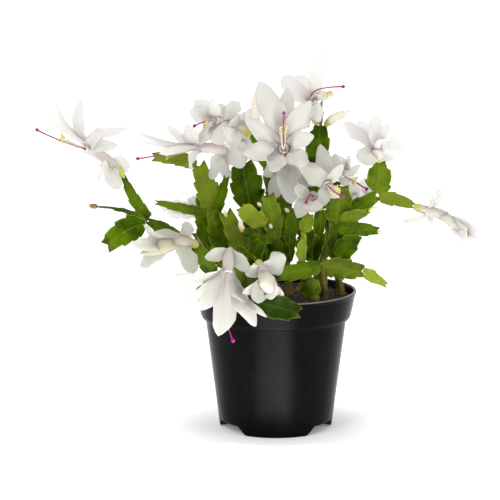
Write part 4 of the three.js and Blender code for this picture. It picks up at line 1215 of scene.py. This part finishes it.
# %% Finish of the pot, and the pot
DRAIN_RADIUS = 3.5
DRAIN_CENTRE_RADIUS = 33.0
DRAIN_AROUND = 32
CUTTER_HEIGHTS = (-1.0, 2.5 * NOTCH_HEIGHT)
POT_BLACK, POT_WORN = (0.0015, 0.0015, 0.0015), (0.0035, 0.0035, 0.0035)
SCUFF_GREY = (0.03, 0.026, 0.022)
LIP_PAINTED_HIGHLIGHT_GREY = (0.16, 0.16, 0.16)


def pot_finish():
    """Colour = two blacks by noise, scuffs that fade out up the wall, and a painted highlight: a grey
    lip.
    """
    plastic = Finish("pot_plastic", Roughness=0.3, IOR=1.12)
    cloud = plastic.noise(35.0, 4.0)
    fine = plastic.noise(1400.0, 2.0)
    scuff = plastic.span(plastic.noise(260.0, 5.0, 0.7), 0.62, 0.8)
    low = plastic.span(plastic.value("along"), 0.02, 0.3, 0.35, 0.0)
    colour = plastic.mix(plastic.span(cloud, 0.3, 0.7), POT_BLACK, POT_WORN)
    colour = plastic.mix(plastic.math("MULTIPLY", scuff, low), colour, SCUFF_GREY)
    # painted highlight: the top of the lip is painted grey
    lip = plastic.span(plastic.value("along"), 0.988, 0.999)
    plastic.set("Base Color", plastic.mix(lip, colour, LIP_PAINTED_HIGHLIGHT_GREY))
    plastic.set("Roughness", plastic.span(plastic.math("ADD", cloud, scuff), 0.3, 1.3, 0.2, 0.4))
    plastic.bump(fine, 0.06, 0.0003)
    return plastic.material


def cut_drain_holes(pot):
    """Takes three upright cylinders off the pot and keeps the result as the pot's own mesh."""
    cutter_mesh = bpy.data.meshes.new("drain_cutter")
    angle = once_around(DRAIN_AROUND)
    steps = np.arange(DRAIN_AROUND)
    beyond = (steps + 1) % DRAIN_AROUND
    sides = np.stack([steps, beyond, beyond + DRAIN_AROUND, steps + DRAIN_AROUND], axis=-1)
    points, faces = [], []
    for turn in NOTCH_TURNS:
        centre = DRAIN_CENTRE_RADIUS * np.array([math.sin(turn), -math.cos(turn)])
        circle = centre + DRAIN_RADIUS * np.stack([np.cos(angle), np.sin(angle)], axis=-1)
        start = len(points)
        for z in CUTTER_HEIGHTS:
            points += [(x * MM, y * MM, z * MM) for x, y in circle]
        faces += (sides + start).tolist()
        faces += [(steps[::-1] + start).tolist(), (steps + DRAIN_AROUND + start).tolist()]
    cutter_mesh.from_pydata(points, [], faces)
    cutter = add_object("drain_cutter", cutter_mesh)
    cut = pot.modifiers.new("drain", "BOOLEAN")
    cut.operation = "DIFFERENCE"
    cut.object = cutter
    cut.solver = "EXACT"
    evaluated = pot.evaluated_get(bpy.context.evaluated_depsgraph_get())
    finished = bpy.data.meshes.new_from_object(evaluated)
    pot.modifiers.clear()
    pot.data = finished
    bpy.data.objects.remove(cutter)
    return pot


POT_PLASTIC = pot_finish()
pot = cut_drain_holes(make_piece("pot", [pot_skin()], POT_PLASTIC, ["pot"]))
print("pot has", len(pot.data.polygons), "faces")

# %% [markdown]
# Potting soil is dark, damp peat: a rough crumbly top with crumbs of many sizes and fine tan
# fibres lying on it. The lump itself fills the pot. Its top is a height map of several octaves
# of noise. Crumbs and fibres are hundreds of tiny shapes of a few faces each, joined in one mesh
# for the crumbs and one for the fibres.

# %% Soil
SOIL_HEIGHT = 99.0
SOIL_RINGS = 84
SOIL_AROUND = 220
SOIL_WALL_HEIGHTS = (96.0, 90.0, 84.0, 70.0, 50.0, 30.0, 10.0)
SOIL_FLOOR_RINGS = 12
SOIL_GAP = 0.7
LATTICE = 64
CRUMBS = 900
FIBRES = 260
PEAT_DARK, PEAT_BROWN = (0.01, 0.004, 0.003), (0.06, 0.023, 0.013)
PEAT_SPECK, PEAT_DRY = (0.4, 0.22, 0.15), (0.1, 0.05, 0.03)
FIBRE_DARK, FIBRE_TAN = (0.07, 0.035, 0.02), (0.24, 0.14, 0.08)


def noise_map(x, y, cell, seed):
    """Smooth noise: random values on a square lattice, blended by smooth steps inside each cell."""
    table = np.random.default_rng(seed).uniform(-1, 1, (LATTICE, LATTICE))
    i, j = np.floor(x / cell).astype(int), np.floor(y / cell).astype(int)
    fx, fy = smooth(x / cell - i), smooth(y / cell - j)
    corner = [table[(i + a) % LATTICE, (j + b) % LATTICE] for a in (0, 1) for b in (0, 1)]
    low = corner[0] * (1 - fy) + corner[1] * fy
    high = corner[2] * (1 - fy) + corner[3] * fy
    return low * (1 - fx) + high * fx


def soil_height(x, y):
    """Height = level + 0.9 of noise 14 mm wide + 0.7 of 5 mm + 0.5 of 2.2 mm + 0.3 of 1.1 mm."""
    bumps = 0.9 * noise_map(x, y, 14.0, 1) + 0.7 * noise_map(x, y, 5.0, 2)
    return SOIL_HEIGHT + bumps + 0.5 * noise_map(x, y, 2.2, 3) + 0.3 * noise_map(x, y, 1.1, 4)


def inner_radius(height):
    """The soil's radius at a height: the pot's outside, less its wall and a small gap."""
    step = POT_HEIGHT - POT_BAND_HEIGHT
    heights = [0, step, step + 3, POT_HEIGHT]
    radii = [POT_BASE_RADIUS, POT_BODY_TOP_RADIUS, POT_BAND_LOW_RADIUS, POT_RIM_RADIUS]
    return np.interp(height, heights, radii) - POT_WALL - SOIL_GAP


def soil_skin():
    """The top as rings of height from the middle out, then the wall down, then the floor in."""
    angle = once_around(SOIL_AROUND)
    radius = np.linspace(0.2, inner_radius(SOIL_HEIGHT), SOIL_RINGS)[:, None]
    x, y = radius * np.cos(angle), radius * np.sin(angle)
    rows = [np.stack([x, y, soil_height(x, y)], axis=-1)]
    for height in SOIL_WALL_HEIGHTS:
        radius = inner_radius(height - 2.0)
        ring = [radius * np.cos(angle), radius * np.sin(angle), np.full_like(angle, height)]
        rows.append(np.stack(ring, axis=-1)[None])
    radius = np.linspace(POT_BASE_RADIUS - POT_WALL - 1, 0.2, SOIL_FLOOR_RINGS)[:, None]
    x, y = radius * np.cos(angle), radius * np.sin(angle)
    rows.append(np.stack([x, y, POT_WALL + 0.6 + notch_lift(x, y, 2.0)], axis=-1))
    return Skin(np.concatenate(rows), {"shade": 0.5})


def soil_finish():
    """Colour = dark to brown peat by coarse noise, pale specks by fine noise, drier by shade."""
    soil = Finish("potting_soil", Roughness=0.9)
    coarse, fine = soil.noise(350.0, 5.0, 0.7), soil.noise(1800.0, 3.0, 0.7)
    colour = soil.mix(soil.span(coarse, 0.3, 0.7), PEAT_DARK, PEAT_BROWN)
    colour = soil.mix(soil.span(fine, 0.57, 0.7, 0.0, 0.8), colour, PEAT_SPECK)
    colour = soil.mix(soil.math("MULTIPLY", soil.value("shade"), 0.35), colour, PEAT_DRY)
    soil.set("Base Color", colour)
    soil.bump(soil.math("ADD", coarse, fine), 0.8, 0.0012)
    return soil.material


SOIL = soil_finish()
make_piece("soil", [soil_skin()], SOIL, ["soil"])


def crumb_skins(count, random):
    """Each crumb is a ball of 4 rings by 6 points with a random place, size, stretch and dents."""
    t = np.linspace(0.12, 0.88, 4) * np.pi
    angle = once_around(6)
    ball = np.stack([np.sin(t)[:, None] * np.cos(angle), np.sin(t)[:, None] * np.sin(angle),
                     np.cos(t)[:, None] * np.ones_like(angle)], axis=-1)
    skins = []
    for _ in range(count):
        reach = (inner_radius(SOIL_HEIGHT) - 2.0) * math.sqrt(random.uniform(0, 1))
        turn = random.uniform(0, 2 * math.pi)
        size = 0.35 + 1.1 * random.uniform(0, 1) ** 3
        x, y = reach * math.cos(turn), reach * math.sin(turn)
        dents = random.uniform(0.7, 1.25, ball.shape[:2])[..., None]
        stretch = np.array([random.uniform(*span) for span in ((0.7, 1.5), (0.7, 1.5), (0.5, 0.9))])
        height = float(soil_height(np.array(x), np.array(y)))
        points = ball * dents * stretch * size + np.array([x, y, height + 0.25 * size])
        skins.append(Skin(points, {"shade": random.uniform(0, 1)}))
    return skins


def fibre_skins(count, random):
    """Each fibre is a thin thread that lies on the soil, bent aside and up by random lengths."""
    skins = []
    for _ in range(count):
        reach = (inner_radius(SOIL_HEIGHT) - 6.0) * math.sqrt(random.uniform(0, 1))
        turn, aim = random.uniform(0, 2 * math.pi, 2)
        length = random.uniform(2.5, 8.0)
        x, y = reach * math.cos(turn), reach * math.sin(turn)
        start = np.array([x, y, soil_height(np.array(x), np.array(y)) + 0.2])
        run = np.array([math.cos(aim), math.sin(aim), 0.0]) * length / 2
        bend = np.array([-run[1], run[0], 0.0]) * random.uniform(-0.5, 0.5)
        ends = [start - run, start + run]
        for end in ends:
            end[2] = soil_height(np.array(end[0]), np.array(end[1])) + 0.25
        middle = start + bend + np.array([0, 0, random.uniform(0.2, 1.2)])
        thick = random.uniform(0.08, 0.2)
        skins.append(thread_skin(Curve(ends[0], middle, ends[1]), [thick, thick, thick * 0.5],
                                 "shade", 1.0, 1.0, 7, 4))
    return skins


def fibre_finish():
    """Colour = dark to tan by noise."""
    fibre = Finish("soil_fibre", Roughness=0.8)
    tint = fibre.noise(200.0, 2.0)
    fibre.set("Base Color", fibre.mix(fibre.span(tint, 0.3, 0.7), FIBRE_DARK, FIBRE_TAN))
    fibre.bump(fibre.noise(3000.0, 1.0), 0.4, 0.0002)
    return fibre.material


soil_random = np.random.default_rng(7)
make_piece("soil_crumbs", crumb_skins(CRUMBS, soil_random), SOIL)
make_piece("soil_fibres", fibre_skins(FIBRES, soil_random), fibre_finish())
print("soil with", CRUMBS, "crumbs and", FIBRES, "fibres")

# %% [markdown]
# The plant was photographed on white. A large pale floor that glows like lit paper, an almost
# white world and two soft lights from the front give the same look, with only a short grey
# shadow where the pot meets the floor. A wedge of the floor in front of the pot glows more, and
# the pot's gloss shows it as one upright bright band. BAND_TURN is the wedge's middle, in radians
# from the front, and BAND_GLOW its strength.

# %% Floor and light
FLOOR_REACH = 12.0
BAND_TURN = -0.06
BAND_GLOW = 8.0
MIDDLE = (0.0, 0.0, 0.15)


def make_floor():
    """One flat square. Glow = 0.15 under the pot to 0.6 away from it, plus the wedge: band glow *
    a smooth step at each edge of the wedge, turned up a little towards the right."""
    mesh = bpy.data.meshes.new("floor")
    corners = [(x * FLOOR_REACH, y * FLOOR_REACH, 0) for x, y in ((-1, -1), (1, -1), (1, 1), (-1, 1))]
    mesh.from_pydata(corners, [], [(0, 1, 2, 3)])
    floor = add_object("floor", mesh)
    pale = Finish("floor", Base_Color=(0.9, 0.9, 0.9, 1.0), Roughness=0.9, Specular_IOR_Level=0.0)
    away = pale.node("ShaderNodeVectorMath", {0: pale.place()}, operation="LENGTH").outputs["Value"]
    pale.set("Emission Color", (1.0, 1.0, 1.0, 1.0))
    split = pale.node("ShaderNodeSeparateXYZ", {0: pale.place()})
    front = pale.math("MULTIPLY", split.outputs["Y"], -1.0)
    turn = pale.math("ARCTAN2", split.outputs["X"], front)
    beside = pale.math("ABSOLUTE", pale.math("SUBTRACT", turn, BAND_TURN))
    wedge = pale.span(beside, 0.25, 0.6, BAND_GLOW, 0.0)
    for edge in (pale.span(away, 0.062, 0.09), pale.span(away, 0.2, 0.3, 1.0, 0.0),
                 pale.span(turn, -0.4, 0.3, 0.75, 1.15)):
        wedge = pale.math("MULTIPLY", wedge, edge)
    pale.set("Emission Strength", pale.math("ADD", wedge, pale.span(away, 0.045, 0.12, 0.15, 0.6)))
    mesh.materials.append(pale.material)


def make_light(name, place, width, height, power):
    """An area light at a place, turned so that its face looks at the middle of the plant."""
    data = bpy.data.lights.new(name, "AREA")
    data.shape = "RECTANGLE"
    data.size, data.size_y = width, height
    data.energy = power
    light = add_object(name, data)
    back = unit(np.array(place, dtype=float) - np.array(MIDDLE, dtype=float))
    right = unit(np.cross([0.0, 0.0, 1.0], back))
    turn = np.eye(4)
    turn[:3] = np.stack([right, np.cross(back, right), back, place], axis=1)
    light.matrix_world = Matrix(turn.tolist())


def make_world():
    """Brightness = 0.45 where the camera stands, about 0.95 beside the plant and 1.02 behind it."""
    world = bpy.data.worlds.new("studio")
    world.use_nodes = True
    tree = world.node_tree
    place = tree.nodes.new("ShaderNodeTexCoord")
    split = tree.nodes.new("ShaderNodeSeparateXYZ")
    ramp = tree.nodes.new("ShaderNodeMapRange")
    for socket, value in (("From Min", -0.7), ("From Max", 0.1), ("To Min", 0.45), ("To Max", 1.02)):
        ramp.inputs[socket].default_value = value
    tree.links.new(place.outputs["Generated"], split.inputs["Vector"])
    tree.links.new(split.outputs["Y"], ramp.inputs["Value"])
    tree.links.new(ramp.outputs["Result"], tree.nodes["Background"].inputs["Strength"])
    tree.nodes["Background"].inputs["Color"].default_value = (1.0, 1.0, 1.0, 1.0)
    bpy.context.scene.world = world


make_floor()
make_world()
bpy.context.scene.view_settings.view_transform = "Standard"
make_light("key", (-0.8, -1.3, 1.4), 0.8, 0.8, 11.0)
make_light("fill", (1.3, -0.9, 0.8), 0.8, 1.0, 5.0)
print("lights set")
